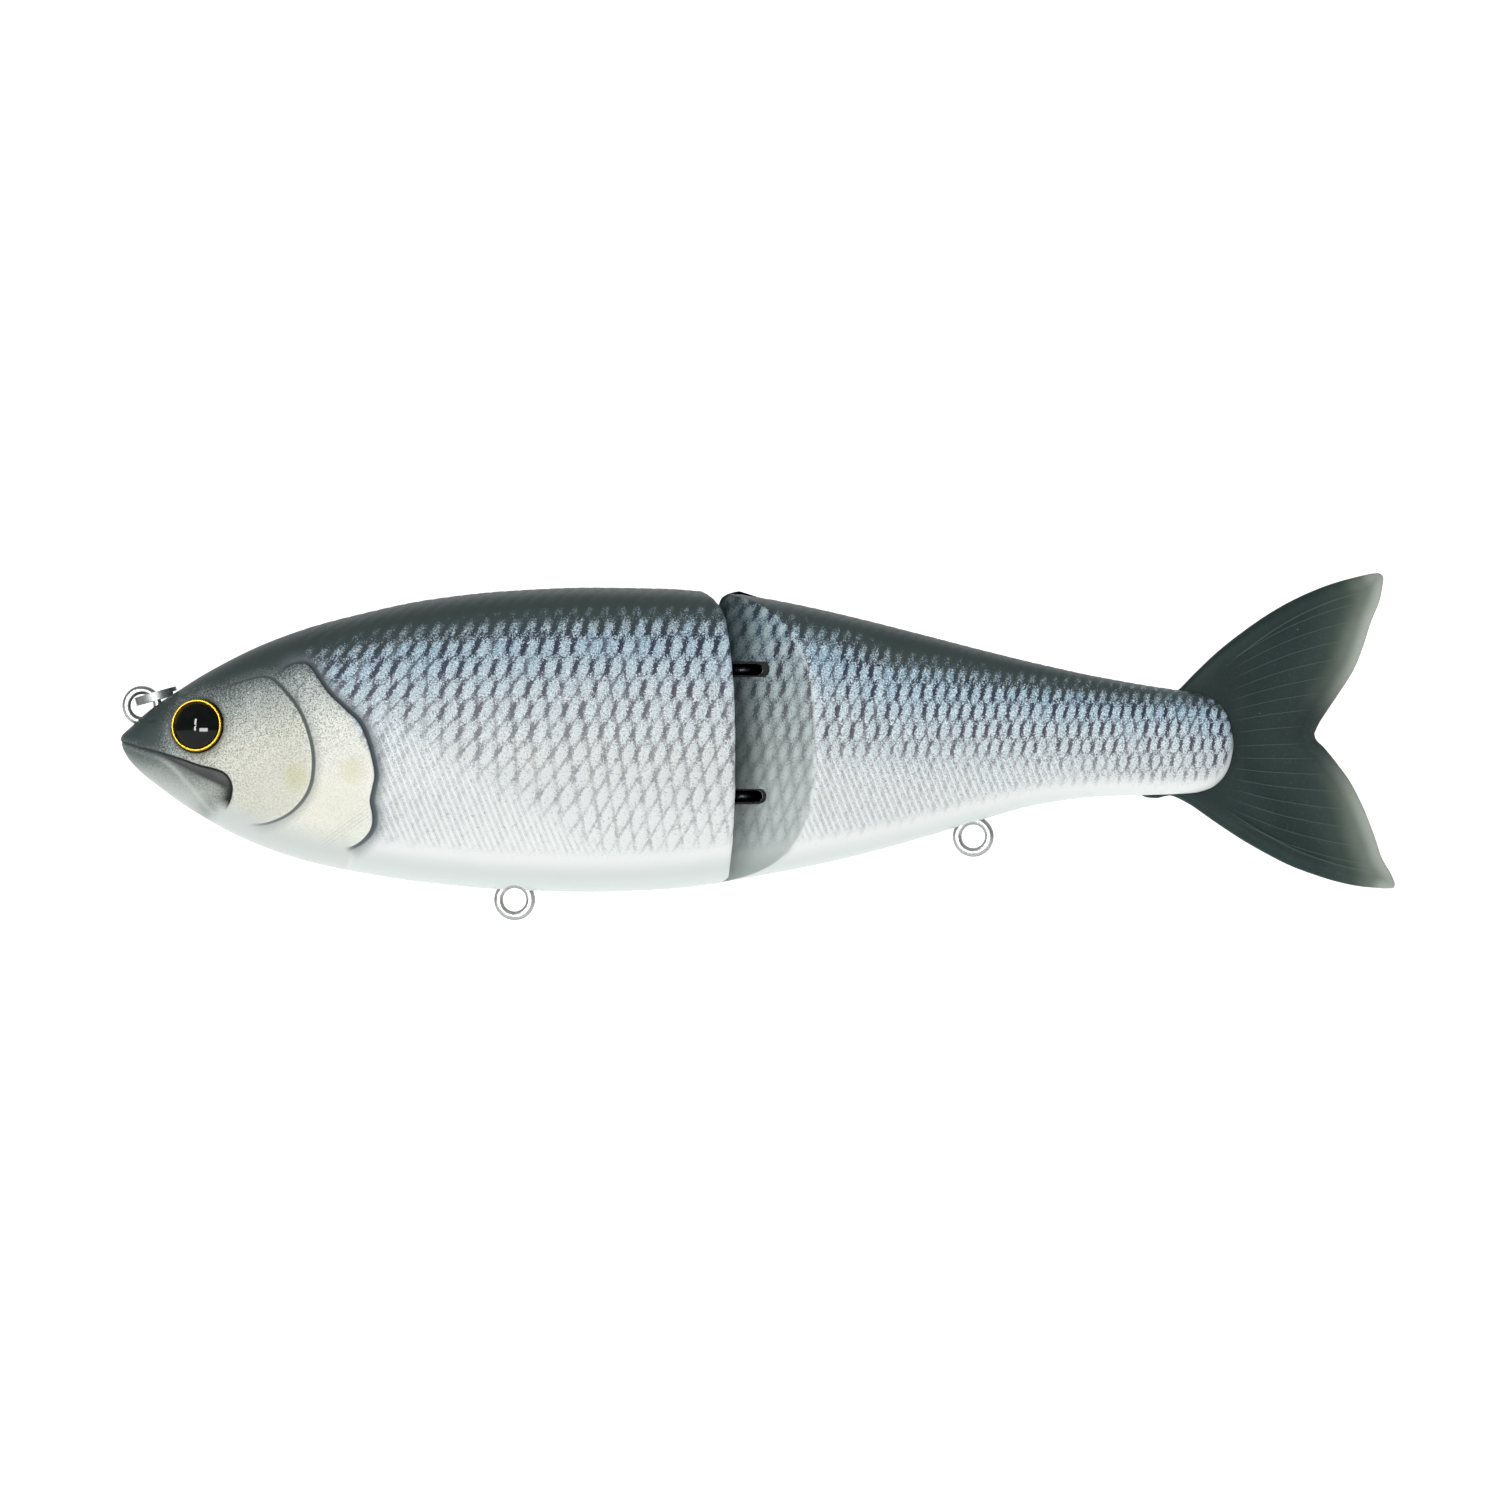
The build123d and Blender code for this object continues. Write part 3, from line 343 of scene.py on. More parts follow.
# ------------------------------------------------------------------ relief and paint fields of the front section
def front_fields():
    X, Y, Z, S = FX, FY, FZ, FS
    N = normals(X, Y, Z)
    f = {}
    d1, s1, t1 = line_field(GILL_1, X, Z)
    d2, s2, t2 = line_field(GILL_2, X, Z, 90)
    f["g1"], f["g2"] = np.clip(d1 * s1, -12, 12), np.clip(d2 * s2, -12, 12)
    f["g1w"] = smooth(0, 0.10, t1) * smooth(1.0, 0.90, t1)
    f["g2w"] = smooth(0, 0.08, t2) * smooth(1.0, 0.95, t2)
    du, su, tu = line_field(MOUTH_UP, X, Z, 90)
    dl, sl, tl = line_field(MOUTH_LO, X, Z, 90)
    inside = (su < 0) & ((sl > 0) | (tl >= 1.0))
    ends = smooth(1.0, 0.93, tu)
    f["mt"] = np.where(inside, du / np.maximum(du + dl, 1e-6), 1.0)
    f["mu"] = np.where(su < 0, du, -du).clip(-9, 9)
    f["mw"] = ends
    f["mc"] = smooth(0.12, 0.62, tu)
    f["ml"] = np.where(sl < 0, dl, -dl).clip(-9, 9)
    db, sb, tb = line_field(BACK_FRONT, X, Z, 120)
    f["band"] = np.clip(-db * sb, -20, 60)
    ax = np.array([-sin(EYE_YAW) * cos(EYE_PITCH), cos(EYE_YAW) * cos(EYE_PITCH), sin(EYE_PITCH)])
    R = np.stack([X - EYE_POS[0], Y - EYE_Y, Z - EYE_POS[1]], axis=-1)
    f["eye"] = np.linalg.norm(R - (R @ ax)[..., None] * ax, axis=-1)
    f["head"] = np.where(f["g2"] < 0, 1.0, 0.0) * (X < 38)
    behind = np.clip((X - np.interp(Z, [-29, -22.4, -19, -10, 0, 6.3, 18], [31, 33, 36, 37, 31.5, 26, 22])) / 1.2, 0, 1)
    f["head"] = 1 - behind
    f["low"] = Z - (front_hull.bottom(X) + 5.2)
    p, q = lattice(X, S)
    f["p"], f["q"] = p, q
    rib, rw = ribs(X, S)
    f["rib"] = rib
    ribm = smooth(0.5, -5.5, S + 0.62 * (X - 40)) * smooth(0.0, 2.0, f["low"]) * smooth(36, 39, X) * smooth(90, 66, X)
    f["ribm"] = ribm
    f["bev"] = np.zeros(X.shape)
    f["face"] = smooth(0, 1, np.clip((np.arange(X.shape[0]) - 386) / 4.0, 0, 1))[:, None] * np.ones(X.shape)
    f["gap"] = np.zeros(X.shape)
    # relief
    D = np.zeros(X.shape)
    D += 0.75 * f["g2w"] * np.where(f["g2"] < 0, (1 - smooth(0, 9, -f["g2"])), 1 - smooth(0.0, 0.45, f["g2"]))
    D -= 0.22 * f["g2w"] * np.exp(-((f["g2"] - 0.6) / 0.55)**2)
    D += 0.50 * f["g1w"] * np.where(f["g1"] < 0, (1 - smooth(0, 7, -f["g1"])), 1 - smooth(0.0, 0.45, f["g1"]))
    corner_w = smooth(0.12, 0.62, tu)
    below = np.where(su < 0, du, 0)
    D -= (0.16 + 0.62 * corner_w) * np.where(su < 0, np.exp(-below / (1.1 + 1.3 * corner_w)) * smooth(0, 0.40, below), 0) * ends * (X < 15.2)
    D += 0.20 * np.where(su > 0, 1 - smooth(0, 2.5, du), 0) * ends
    D += 0.10 * np.exp(-(dl / 0.35)**2) * smooth(1.0, 0.8, tl) * (1 - 0.5 * corner_w)
    D -= 1.25 * smooth(4.30, 4.12, f["eye"]) + 0.28 * smooth(6.2, 4.2, f["eye"])
    D += 0.10 * np.exp(-((f["g2"] + 1.6) / 0.25)**2) * smooth(-14, -18, Z) * f["g2w"] * (X > 24)
    D += 0.10 * np.exp(-((f["g2"] + 2.6) / 0.25)**2) * smooth(-14, -18, Z) * f["g2w"] * (X > 24)
    flank = behind * (1 - f["face"])
    D += 0.075 * (scales(p, q) - 0.6) * flank * smooth(-1.0, 1.5, f["low"]) * (1 - 0.90 * ribm)
    D += 0.06 * (0.5 - rw) * ribm * flank
    # nostril
    D -= 0.35 * np.exp(-(((X - 1.6) / 0.55)**2 + ((Z + 2.2) / 0.4)**2))
    return N, D, f


def rear_fields():
    X, Y, Z, S = RX, RY, RZ, RS
    N = normals(X, Y, Z)
    f = {k: np.zeros(X.shape) + v for k, v in
         (("g1", 12), ("g2", 12), ("g1w", 0), ("g2w", 0), ("mt", 1), ("mu", -9), ("mw", 0), ("mc", 0), ("ml", 9), ("eye", 30), ("head", 0), ("face", 0))}
    db, sb_, tb = line_field(BACK_REAR, X, Z, 120)
    band = np.clip(-db * sb_, -20, 60)
    f["bev"] = BEV
    band = np.where(band > 0, band * (1 + 0.75 * smooth(112, 168, X)), band)
    f["band"] = band * (1 - BEV) + (16.9 - Z + 1.2) * BEV
    f["low"] = Z - (rear_hull.bottom(X) + np.interp(X, [100, 125, 150, 168], [3.9, 3.3, 2.2, 1.5]))
    p, q = lattice(X, S)
    f["p"], f["q"] = p, q
    rib, rw = ribs(X, S)
    f["rib"] = rib
    f["ribm"] = smooth(-4.5, -10.5, S + 0.04 * (X - 108)) * smooth(0.0, 1.6, f["low"]) * (1 - BEV) * smooth(160, 140, X)
    # painted shade on the bevel near the gap to the front section
    f["gap"] = smooth(99.5, 92.5, X) * BEV
    D = 0.07 * (scales(p, q) - 0.6) * smooth(-1.0, 1.2, f["low"]) * (1 - 0.8 * BEV) * smooth(171, 166, X) * (1 - 0.85 * f["ribm"])
    D += 0.07 * (0.5 - rw) * f["ribm"]
    # faint shoulder along the bevel's edge
    D += 0.10 * np.exp(-((np.arange(X.shape[0]) - 92) / 4.0)**2)[:, None] * smooth(14, 10, Z) * smooth(-26, -22, Z)
    return N, D, f


def keel_relief(X, Z, centre, r=2.35):
    dx = X - centre[0]
    top = centre[1] + np.sqrt(np.maximum(r * r - dx * dx, 0))
    return np.where((np.abs(dx) < r) & (Z < top) & (Z < centre[1] + 4), top, Z)


def skin_mesh(name, X, Y, Z, fields, hull, x0, x1, side):
    """closed half shell: outer skin, inner skin 1.8 mm in, and the flat rim on the parting plane"""
    nc, nr = X.shape
    outer = np.stack([X, Y, Z], axis=-1).reshape(-1, 3)
    ic, ir = (nc - 1) // 4 + 1, (nr - 1) // 4 + 1
    xi = np.concatenate([np.full(3, x0), np.linspace(x0, x1, ic - 6), np.full(3, x1)])
    IX = rows_like(xi)
    IY, IZ, IS = hull.at(IX)
    f = np.concatenate([[0, 0.5, 0.9], np.ones(ic - 6), [0.9, 0.5, 0]])
    IY = IY * f[:, None]
    inner = np.stack([IX[:, ::4], IY[:, ::4], IZ[:, ::4]], axis=-1).reshape(-1, 3)
    co = np.vstack([outer, inner])
    io = np.arange(nc * nr).reshape(nc, nr)
    ii = np.arange(ic * ir).reshape(ic, ir) + nc * nr

    def quads(a):
        return np.stack([a[:-1, :-1], a[1:, :-1], a[1:, 1:], a[:-1, 1:]], axis=-1).reshape(-1, 4)

    faces = [list(q) for q in quads(io)[:, ::-1]] + [list(q) for q in quads(ii)]

    def rim(o, i, flip):
        for k in range(len(i) - 1):
            loop = [o[4 * k + m] for m in range(5)] + [i[k + 1], i[k]]
            faces.append(loop if flip else loop[::-1])

    rim(io[:, 0], ii[:, 0], True)
    rim(io[-1, :], ii[-1, :], True)
    rim(io[::-1, -1], ii[::-1, -1], True)
    rim(io[0, ::-1], ii[0, ::-1], True)
    key = np.round(co, 4)
    _, first, inverse = np.unique(key, axis=0, return_index=True, return_inverse=True)
    inverse = inverse.reshape(-1)
    co = co[first].copy()
    clean = []
    for face in faces:
        loop = [int(inverse[v]) for v in face]
        loop = [v for k, v in enumerate(loop) if v != loop[k - 1]]
        if len(set(loop)) == len(loop) and len(loop) >= 3:
            clean.append(loop)
    co[:, 1] *= side
    if side < 0:
        clean = [loop[::-1] for loop in clean]
    me = bpy.data.meshes.new(name)
    me.from_pydata((co * MM).tolist(), [], clean)
    outward(me)
    n_outer = nc * nr
    for key_name, values in fields.items():
        full = np.concatenate([values.reshape(-1), np.zeros(len(inner)) + (values.reshape(-1)[0])])
        at = me.attributes.new(key_name, "FLOAT", "POINT")
        at.data.foreach_set("value", full[first].astype(np.float32))
    # painted shade: the inner wall gets the dark cavity colour
    at = me.attributes.new("cavity_shade", "FLOAT", "POINT")
    at.data.foreach_set("value", np.concatenate([np.zeros(n_outer), np.ones(len(inner))])[first].astype(np.float32))
    me.polygons.foreach_set("use_smooth", np.array([len(loop) < 6 for loop in clean]))
    ob = bpy.data.objects.new(name, me)
    scene.collection.objects.link(ob)
    return ob


def outward(me):
    """all faces of a closed mesh wound the same way, outwards"""
    bm = bmesh.new()
    bm.from_mesh(me)
    bmesh.ops.recalc_face_normals(bm, faces=bm.faces)
    if bm.calc_volume(signed=True) < 0:
        bmesh.ops.reverse_faces(bm, faces=bm.faces)
    bm.to_mesh(me)
    bm.free()
    me.update()


def block(name, outline, y_lo, y_hi):
    """prism between two y values from an outline in X, Z (cutting tool)"""
    n = len(outline)
    co = [(x * MM, y_lo * MM, z * MM) for x, z in outline] + [(x * MM, y_hi * MM, z * MM) for x, z in outline]
    faces = [list(range(n)), list(range(2 * n - 1, n - 1, -1))]
    faces += [[k, k + n, (k + 1) % n + n, (k + 1) % n] for k in range(n)]
    me = bpy.data.meshes.new(name)
    me.from_pydata(co, [], faces)
    me.update()
    ob = bpy.data.objects.new(name, me)
    scene.collection.objects.link(ob)
    outward(me)
    return ob


def cut(ob, tools):
    """cuts the tools out of ob, keeping its paint fields"""
    old = ob.data
    names = [a.name for a in old.attributes if a.data_type == "FLOAT" and a.domain == "POINT"]
    n = len(old.vertices)
    co = np.empty(n * 3)
    old.vertices.foreach_get("co", co)
    co = co.reshape(-1, 3)
    vals = {}
    for k in names:
        v = np.empty(n, np.float32)
        old.attributes[k].data.foreach_get("value", v)
        vals[k] = v
    for tool in tools:
        m = ob.modifiers.new("cut", "BOOLEAN")
        m.operation, m.solver, m.object = "DIFFERENCE", "MANIFOLD", tool
    dg = bpy.context.evaluated_depsgraph_get()
    me = bpy.data.meshes.new_from_object(ob.evaluated_get(dg))
    ob.modifiers.clear()
    ob.data = me
    bpy.data.meshes.remove(old)
    tree = kdtree.KDTree(n)
    for i, c in enumerate(co):
        tree.insert(c, i)
    tree.balance()
    m = len(me.vertices)
    idx, new = np.empty(m, int), np.zeros(m, bool)
    for i, v in enumerate(me.vertices):
        _, j, d = tree.find(v.co)
        idx[i], new[i] = j, d > 2e-6
    for k in names:
        a = me.attributes.get(k) or me.attributes.new(k, "FLOAT", "POINT")
        v = vals[k][idx].copy()
        # walls made by the cut get the same painted shade
        if k == "cavity_shade":
            v[new] = 1.0
        a.data.foreach_set("value", v)
    starts, totals = np.empty(len(me.polygons), np.int32), np.empty(len(me.polygons), np.int32)
    me.polygons.foreach_get("loop_start", starts)
    me.polygons.foreach_get("loop_total", totals)
    corner_v = np.empty(len(me.loops), np.int32)
    me.loops.foreach_get("vertex_index", corner_v)
    made_by_cut = np.add.reduceat(new[corner_v].astype(np.int32), starts) == totals
    me.polygons.foreach_set("use_smooth", ~made_by_cut)
    me.update()
    for tool in tools:
        bpy.data.objects.remove(tool)
    return ob


def arc_slot(x1, z, h, x0=86.0):
    pts = [(x0, z + h / 2)]
    for k in range(0, 13):
        a = pi / 2 - pi * k / 12
        pts.append((x1 - h / 2 + h / 2 * cos(a), z + h / 2 * sin(a)))
    pts.append((x0, z - h / 2))
    return pts


# ------------------------------------------------------------------ node materials
def lin(c):
    out = []
    for v in c[:3]:
        v = v / 255
        out.append(v / 12.92 if v <= 0.04045 else ((v + 0.055) / 1.055)**2.4)
    return tuple(out) + (1.0,)


class Num:
    def __init__(self, t, sock):
        self.t, self.s = t, sock

    def _m(self, op, other=None, third=None):
        return self.t.math(op, self, other, third)

    def __add__(self, o): return self._m("ADD", o)
    def __radd__(self, o): return self._m("ADD", o)
    def __sub__(self, o): return self._m("SUBTRACT", o)
    def __rsub__(self, o): return self.t.math("SUBTRACT", o, self)
    def __mul__(self, o): return self._m("MULTIPLY", o)
    def __rmul__(self, o): return self._m("MULTIPLY", o)
    def __truediv__(self, o): return self._m("DIVIDE", o)
    def __rtruediv__(self, o): return self.t.math("DIVIDE", o, self)


class Paint:
    """a node material built up with ordinary arithmetic"""

    def __init__(self, name):
        self.mat = bpy.data.materials.new(name)
        self.mat.use_nodes = True
        self.nt = self.mat.node_tree
        self.bsdf = self.nt.nodes["Principled BSDF"]
        self.coord = None

    def put(self, sock, v):
        if isinstance(v, Num):
            self.nt.links.new(v.s, sock)
        elif isinstance(v, tuple) and len(v) == 3:
            sock.default_value = lin(v)
        else:
            sock.default_value = v

    def math(self, op, a, b=None, c=None):
        n = self.nt.nodes.new("ShaderNodeMath")
        n.operation = op
        for k, v in enumerate((a, b, c)):
            if v is not None:
                self.put(n.inputs[k], v)
        return Num(self, n.outputs[0])

    def attr(self, name):
        n = self.nt.nodes.new("ShaderNodeAttribute")
        n.attribute_name = name
        return Num(self, n.outputs["Fac"])

    def at(self):
        if self.coord is None:
            c = self.nt.nodes.new("ShaderNodeTexCoord")
            m = self.nt.nodes.new("ShaderNodeVectorMath")
            m.operation = "SCALE"
            m.inputs["Scale"].default_value = 1000.0
            self.nt.links.new(c.outputs["Object"], m.inputs[0])
            self.coord = m.outputs[0]
        return self.coord

    def noise(self, scale, detail=2.0, rough=0.5, vec=None, dist=0.0):
        n = self.nt.nodes.new("ShaderNodeTexNoise")
        n.inputs["Scale"].default_value = scale
        n.inputs["Detail"].default_value = detail
        n.inputs["Roughness"].default_value = rough
        n.inputs["Distortion"].default_value = dist
        self.nt.links.new(vec or self.at(), n.inputs["Vector"])
        return Num(self, n.outputs["Fac"])

    def cells(self, scale, feature="F1", vec=None):
        n = self.nt.nodes.new("ShaderNodeTexVoronoi")
        n.feature = feature
        n.inputs["Scale"].default_value = scale
        self.nt.links.new(vec or self.at(), n.inputs["Vector"])
        return Num(self, n.outputs["Distance"]), n

    def stretched(self, sx, sy, sz, rot=(0, 0, 0)):
        m = self.nt.nodes.new("ShaderNodeMapping")
        m.inputs["Scale"].default_value = (sx, sy, sz)
        m.inputs["Rotation"].default_value = rot
        self.nt.links.new(self.at(), m.inputs["Vector"])
        return m.outputs[0]

    def vector(self, a, b, c=0.0):
        n = self.nt.nodes.new("ShaderNodeCombineXYZ")
        for k, v in enumerate((a, b, c)):
            self.put(n.inputs[k], v)
        return n.outputs[0]

    def random(self, a, b):
        n = self.nt.nodes.new("ShaderNodeTexWhiteNoise")
        n.noise_dimensions = "2D"
        self.nt.links.new(self.vector(a, b), n.inputs["Vector"])
        return Num(self, n.outputs["Value"])

    def ramp(self, lo, hi, x):
        """smooth 0 to 1 from lo to hi"""
        n = self.nt.nodes.new("ShaderNodeMapRange")
        n.interpolation_type = "SMOOTHSTEP"
        if hi < lo:
            n.inputs["From Min"].default_value, n.inputs["From Max"].default_value = hi, lo
            n.inputs["To Min"].default_value, n.inputs["To Max"].default_value = 1.0, 0.0
        else:
            n.inputs["From Min"].default_value, n.inputs["From Max"].default_value = lo, hi
        self.put(n.inputs["Value"], x)
        return Num(self, n.outputs["Result"])

    def mix(self, f, a, b, blend="MIX"):
        n = self.nt.nodes.new("ShaderNodeMix")
        n.data_type = "RGBA"
        n.blend_type = blend
        n.clamp_factor = True
        self.put(n.inputs["Factor"], f)
        ins = [s for s in n.inputs if s.type == "RGBA"]
        for sock, v in zip(ins, (a, b)):
            self.put(sock, v)
        return Num(self, [s for s in n.outputs if s.type == "RGBA"][0])

    def out(self, **kw):
        for k, v in kw.items():
            self.put(self.bsdf.inputs[k.replace("_", " ")], v)
        return self.mat

    def bump(self, height, distance, strength=1.0):
        n = self.nt.nodes.new("ShaderNodeBump")
        n.inputs["Strength"].default_value = strength
        n.inputs["Distance"].default_value = distance
        self.nt.links.new(height.s, n.inputs["Height"])
        self.nt.links.new(n.outputs["Normal"], self.bsdf.inputs["Normal"])


def body_paint():
    m = Paint("lure_body_paint")
    band, low, p, q = m.attr("band"), m.attr("low"), m.attr("p"), m.attr("q")
    grain = m.noise(4.6, 2.0, 0.65)                      # fine airbrush stipple
    grain2 = m.noise(2.2, 2.0, 0.6)
    cloud = m.noise(0.35, 3.0, 0.5)
    # nearest corner of the diamond scales
    rp, rq = m.math("ROUND", p), m.math("ROUND", q)
    wob = (m.noise(0.9, 2.0, 0.5) - 0.5) * 0.34
    sp, sq = p - rp + wob * 0.5, q - rq + wob * 0.4
    da, db = (sp + sq) * 0.5, sq - sp
    rnd = m.random(rp, rq)
    near = m.ramp(6.0, -1.0, band)
    tall = near * 0.38 + rnd * 0.20 + 0.40
    wide = rnd * 0.08 + 0.135 + near * 0.05
    ea, eb = da / wide, db / tall
    e = m.math("SQRT", ea * ea + eb * eb)
    e = e + (grain - 0.5) * 2.3 + (grain2 - 0.5) * 1.6
    blot = m.ramp(1.25, 0.55, e)
    bev = m.attr("bev")
    fade = m.ramp(24.0, 8.0, band) * 0.62 + m.ramp(36.0, 20.0, band) * 0.50
    ribm = m.attr("ribm")
    blot = blot * (ribm * -0.70 + 1.0) * fade * (m.ramp(0.15, 0.45, rnd) * 0.5 + 0.5)
    ap = m.math("ABSOLUTE", p - rp)
    aq = m.math("ABSOLUTE", q - rq)
    net = m.ramp(0.165, 0.03, m.math("MINIMUM", ap, aq) + (grain - 0.5) * 0.42 + (grain2 - 0.5) * 0.26)
    net = net * (m.ramp(0.40, 0.62, m.noise(0.75, 2.0, 0.6)) * 0.62 + 0.38)
    net = net * (m.ramp(32.0, 6.0, band) * 0.48 + 0.50) * m.ramp(0.0, 2.4, low) * (ribm * -0.80 + 1.0) * (bev * -0.40 + 1.0)
    # light ground colour from back to belly
    ground = m.mix(m.ramp(1.0, 13.0, band), (140, 178, 199), (186, 198, 205))
    ground = m.mix(m.ramp(11.0, 22.0, band), ground, (210, 214, 213))
    ground = m.mix(m.ramp(24.0, 34.0, band), ground, (228, 230, 228))
    cell = m.random(m.math("FLOOR", p), m.math("FLOOR", q))
    ground = m.mix((cell - 0.5) * 0.30 * m.ramp(26.0, 10.0, band) + 0.15, ground, (206, 222, 226))
    inner = m.math("SINE", (p - m.math("FLOOR", p)) * pi) * m.math("SINE", (q - m.math("FLOOR", q)) * pi)
    ground = m.mix(bev * m.ramp(0.45, 0.95, inner + (grain - 0.5) * 0.5) * 0.70, ground, (244, 250, 250))
    ground = m.mix(m.ramp(0.62, 0.98, inner) * m.ramp(24.0, 6.0, band) * 0.22, ground, (222, 234, 240))
    ground = m.mix(m.ramp(0.52, 0.64, grain) * m.ramp(30.0, 8.0, band) * 0.80, ground, (238, 246, 250))
    ground = m.mix(m.ramp(0.47, 0.34, grain) * (m.ramp(34.0, 8.0, band) * 0.66 + 0.20), ground, (84, 96, 110))
    warm = m.ramp(0.56, 0.70, m.noise(0.7, 2.0, 0.5)) * m.ramp(12.0, 20.0, band) * m.ramp(30.0, 24.0, band)
    ground = m.mix(warm * 0.16, ground, (206, 196, 150))
    dark = m.mix(m.ramp(3.0, 18.0, band), (46, 55, 76), (78, 77, 88))
    col = m.mix(net, ground, m.mix(m.ramp(4.0, 18.0, band), (84, 94, 112), (104, 106, 112)))
    col = m.mix(blot, col, dark)
    # warm specks low on the flank
    speck = m.ramp(0.62, 0.70, m.noise(1.7, 2.0, 0.6)) * m.ramp(9.0, 15.0, band) * m.ramp(1.0, 5.0, low)
    col = m.mix(speck * 0.50, col, (138, 124, 110))
    # fine slanting ribs low on the flank
    rib = m.attr("rib")
    rw = m.math("ABSOLUTE", (rib - m.math("FLOOR", rib)) * 2.0 - 1.0)
    broken = m.ramp(0.34, 0.56, m.noise(0.55, 2.0, 0.6))
    col = m.mix(ribm * broken * m.ramp(0.26, 0.0, rw + (grain - 0.5) * 0.30) * 0.38, col, (122, 127, 130))
    col = m.mix(ribm * m.ramp(0.58, 0.92, rw) * 0.50, col, (248, 249, 249))
    # smooth belly paint, darker towards the keel; that darkening is painted shade of the underside
    belly = m.ramp(1.6, -1.2, low + (grain2 - 0.5) * 0.8)
    col = m.mix(belly, col, m.mix(m.ramp(0.5, -3.0, low), (231, 233, 231), (200, 207, 205)))
    # head
    head = m.attr("head")
    g1, g2 = m.attr("g1"), m.attr("g2")
    g1w, g2w = m.attr("g1w"), m.attr("g2w")
    hcol = m.mix(m.ramp(1.0, 11.0, band), (150, 162, 160), (214, 215, 200))
    hcol = m.mix(m.ramp(-1.0, 1.0, g1), hcol, m.mix(m.ramp(2.0, 12.0, band), (172, 184, 182), (232, 233, 222)))
    stip = m.noise(4.4, 1.0, 0.6)
    hcol = m.mix(m.ramp(0.54, 0.40, stip) * (m.ramp(21.0, 1.0, band) * 0.78 + 0.16), hcol, (76, 84, 82))
    hcol = m.mix(m.ramp(0.55, 0.66, grain) * 0.6, hcol, (240, 242, 236))
    hcol = m.mix(m.ramp(0.60, 0.72, m.noise(0.8, 3.0, 0.6)) * 0.16, hcol, (120, 128, 124))
    col = m.mix(head, col, hcol)
    col = m.mix(head * m.ramp(2.0, -3.0, low), col, (196, 202, 199))
    # warm patches on the gill plates
    sep = m.nt.nodes.new("ShaderNodeSeparateXYZ")
    m.nt.links.new(m.at(), sep.inputs[0])
    px, pz = Num(m, sep.outputs["X"]), Num(m, sep.outputs["Z"])
    for cx, cz, r, k, c in ((24.6, -11.1, 2.6, 0.42, (186, 186, 120)), (33.6, -10.1, 2.6, 0.40, (196, 192, 140)),
                            (30.0, -15.0, 6.0, 0.20, (236, 228, 196))):
        dx, dz = (px - cx) / r, (pz - cz) / r
        rr = m.math("SQRT", dx * dx + dz * dz) + (grain2 - 0.5) * 0.7
        col = m.mix(m.ramp(1.25, 0.2, rr) * k * head, col, c)
    # grey-green jaw under the mouth; its darkening towards the mouth line is painted shade under the upper lip
    mu, mt, mw, ml = m.attr("mu"), m.attr("mt"), m.attr("mw"), m.attr("ml")
    mc = m.attr("mc")
    jaw = m.ramp(9.5, 0.2, mu + (stip - 0.5) * 6.0) * m.ramp(-0.2, 0.2, mu) * m.ramp(14.9, 11.2, px - (pz + 14.0) * 0.65 + (stip - 0.5) * 2.0)
    col = m.mix(jaw * 0.90, col, m.mix(m.ramp(6.0, 1.0, mu), (150, 158, 152), (104, 114, 109)))
    # painted highlight along the raised lower lip
    col = m.mix(m.ramp(0.55, 0.05, m.math("ABSOLUTE", ml)) * m.ramp(14.0, 9.0, px) * 0.40, col, (206, 212, 206))
    # dark back
    comb = (m.noise(1.1, 2.0, 0.6, m.stretched(1.3, 0.4, 0.30)) - 0.5) * 3.4 * (head * -0.8 + 1.0)
    edge_b = band + comb + (grain - 0.5) * (head * -1.8 + 5.8) + (grain2 - 0.5) * 1.8 - head * 0.7
    edge_b = edge_b + (inner - 0.42) * (head * -1.7 + 1.7)
    back = m.math("MAXIMUM", m.ramp(3.0, -2.0, edge_b), m.ramp(-0.6, -2.6, band))
    backc = m.mix(m.ramp(-1.0, -6.0, band), (58, 72, 72), (50, 64, 62))
    backc = m.mix((cloud - 0.5) * 0.5 + 0.2, backc, (66, 79, 77))
    col = m.mix(back, col, backc)
    # bevels of the rear section's nose
    gap = m.attr("gap")
    bcol = m.mix(0.72, col, m.mix(m.ramp(2.0, 34.0, band), (184, 200, 202), (192, 201, 199)), "MULTIPLY")
    col = m.mix(bev, col, bcol)
    # painted highlight along the bevel's rounded edge
    col = m.mix(m.ramp(0.05, 0.40, bev) * m.ramp(0.95, 0.60, bev) * m.ramp(5.0, 9.0, band) * m.ramp(0.40, 0.52, m.noise(0.45, 2.0, 0.5)) * 0.34,
                col, (240, 244, 244))
    # painted shade in the gap between the sections
    col = m.mix(gap * 0.80 * m.ramp(46.0, 26.0, band), col, (48, 62, 63))
    col = m.mix(m.attr("face") * 0.75, col, (120, 132, 132))
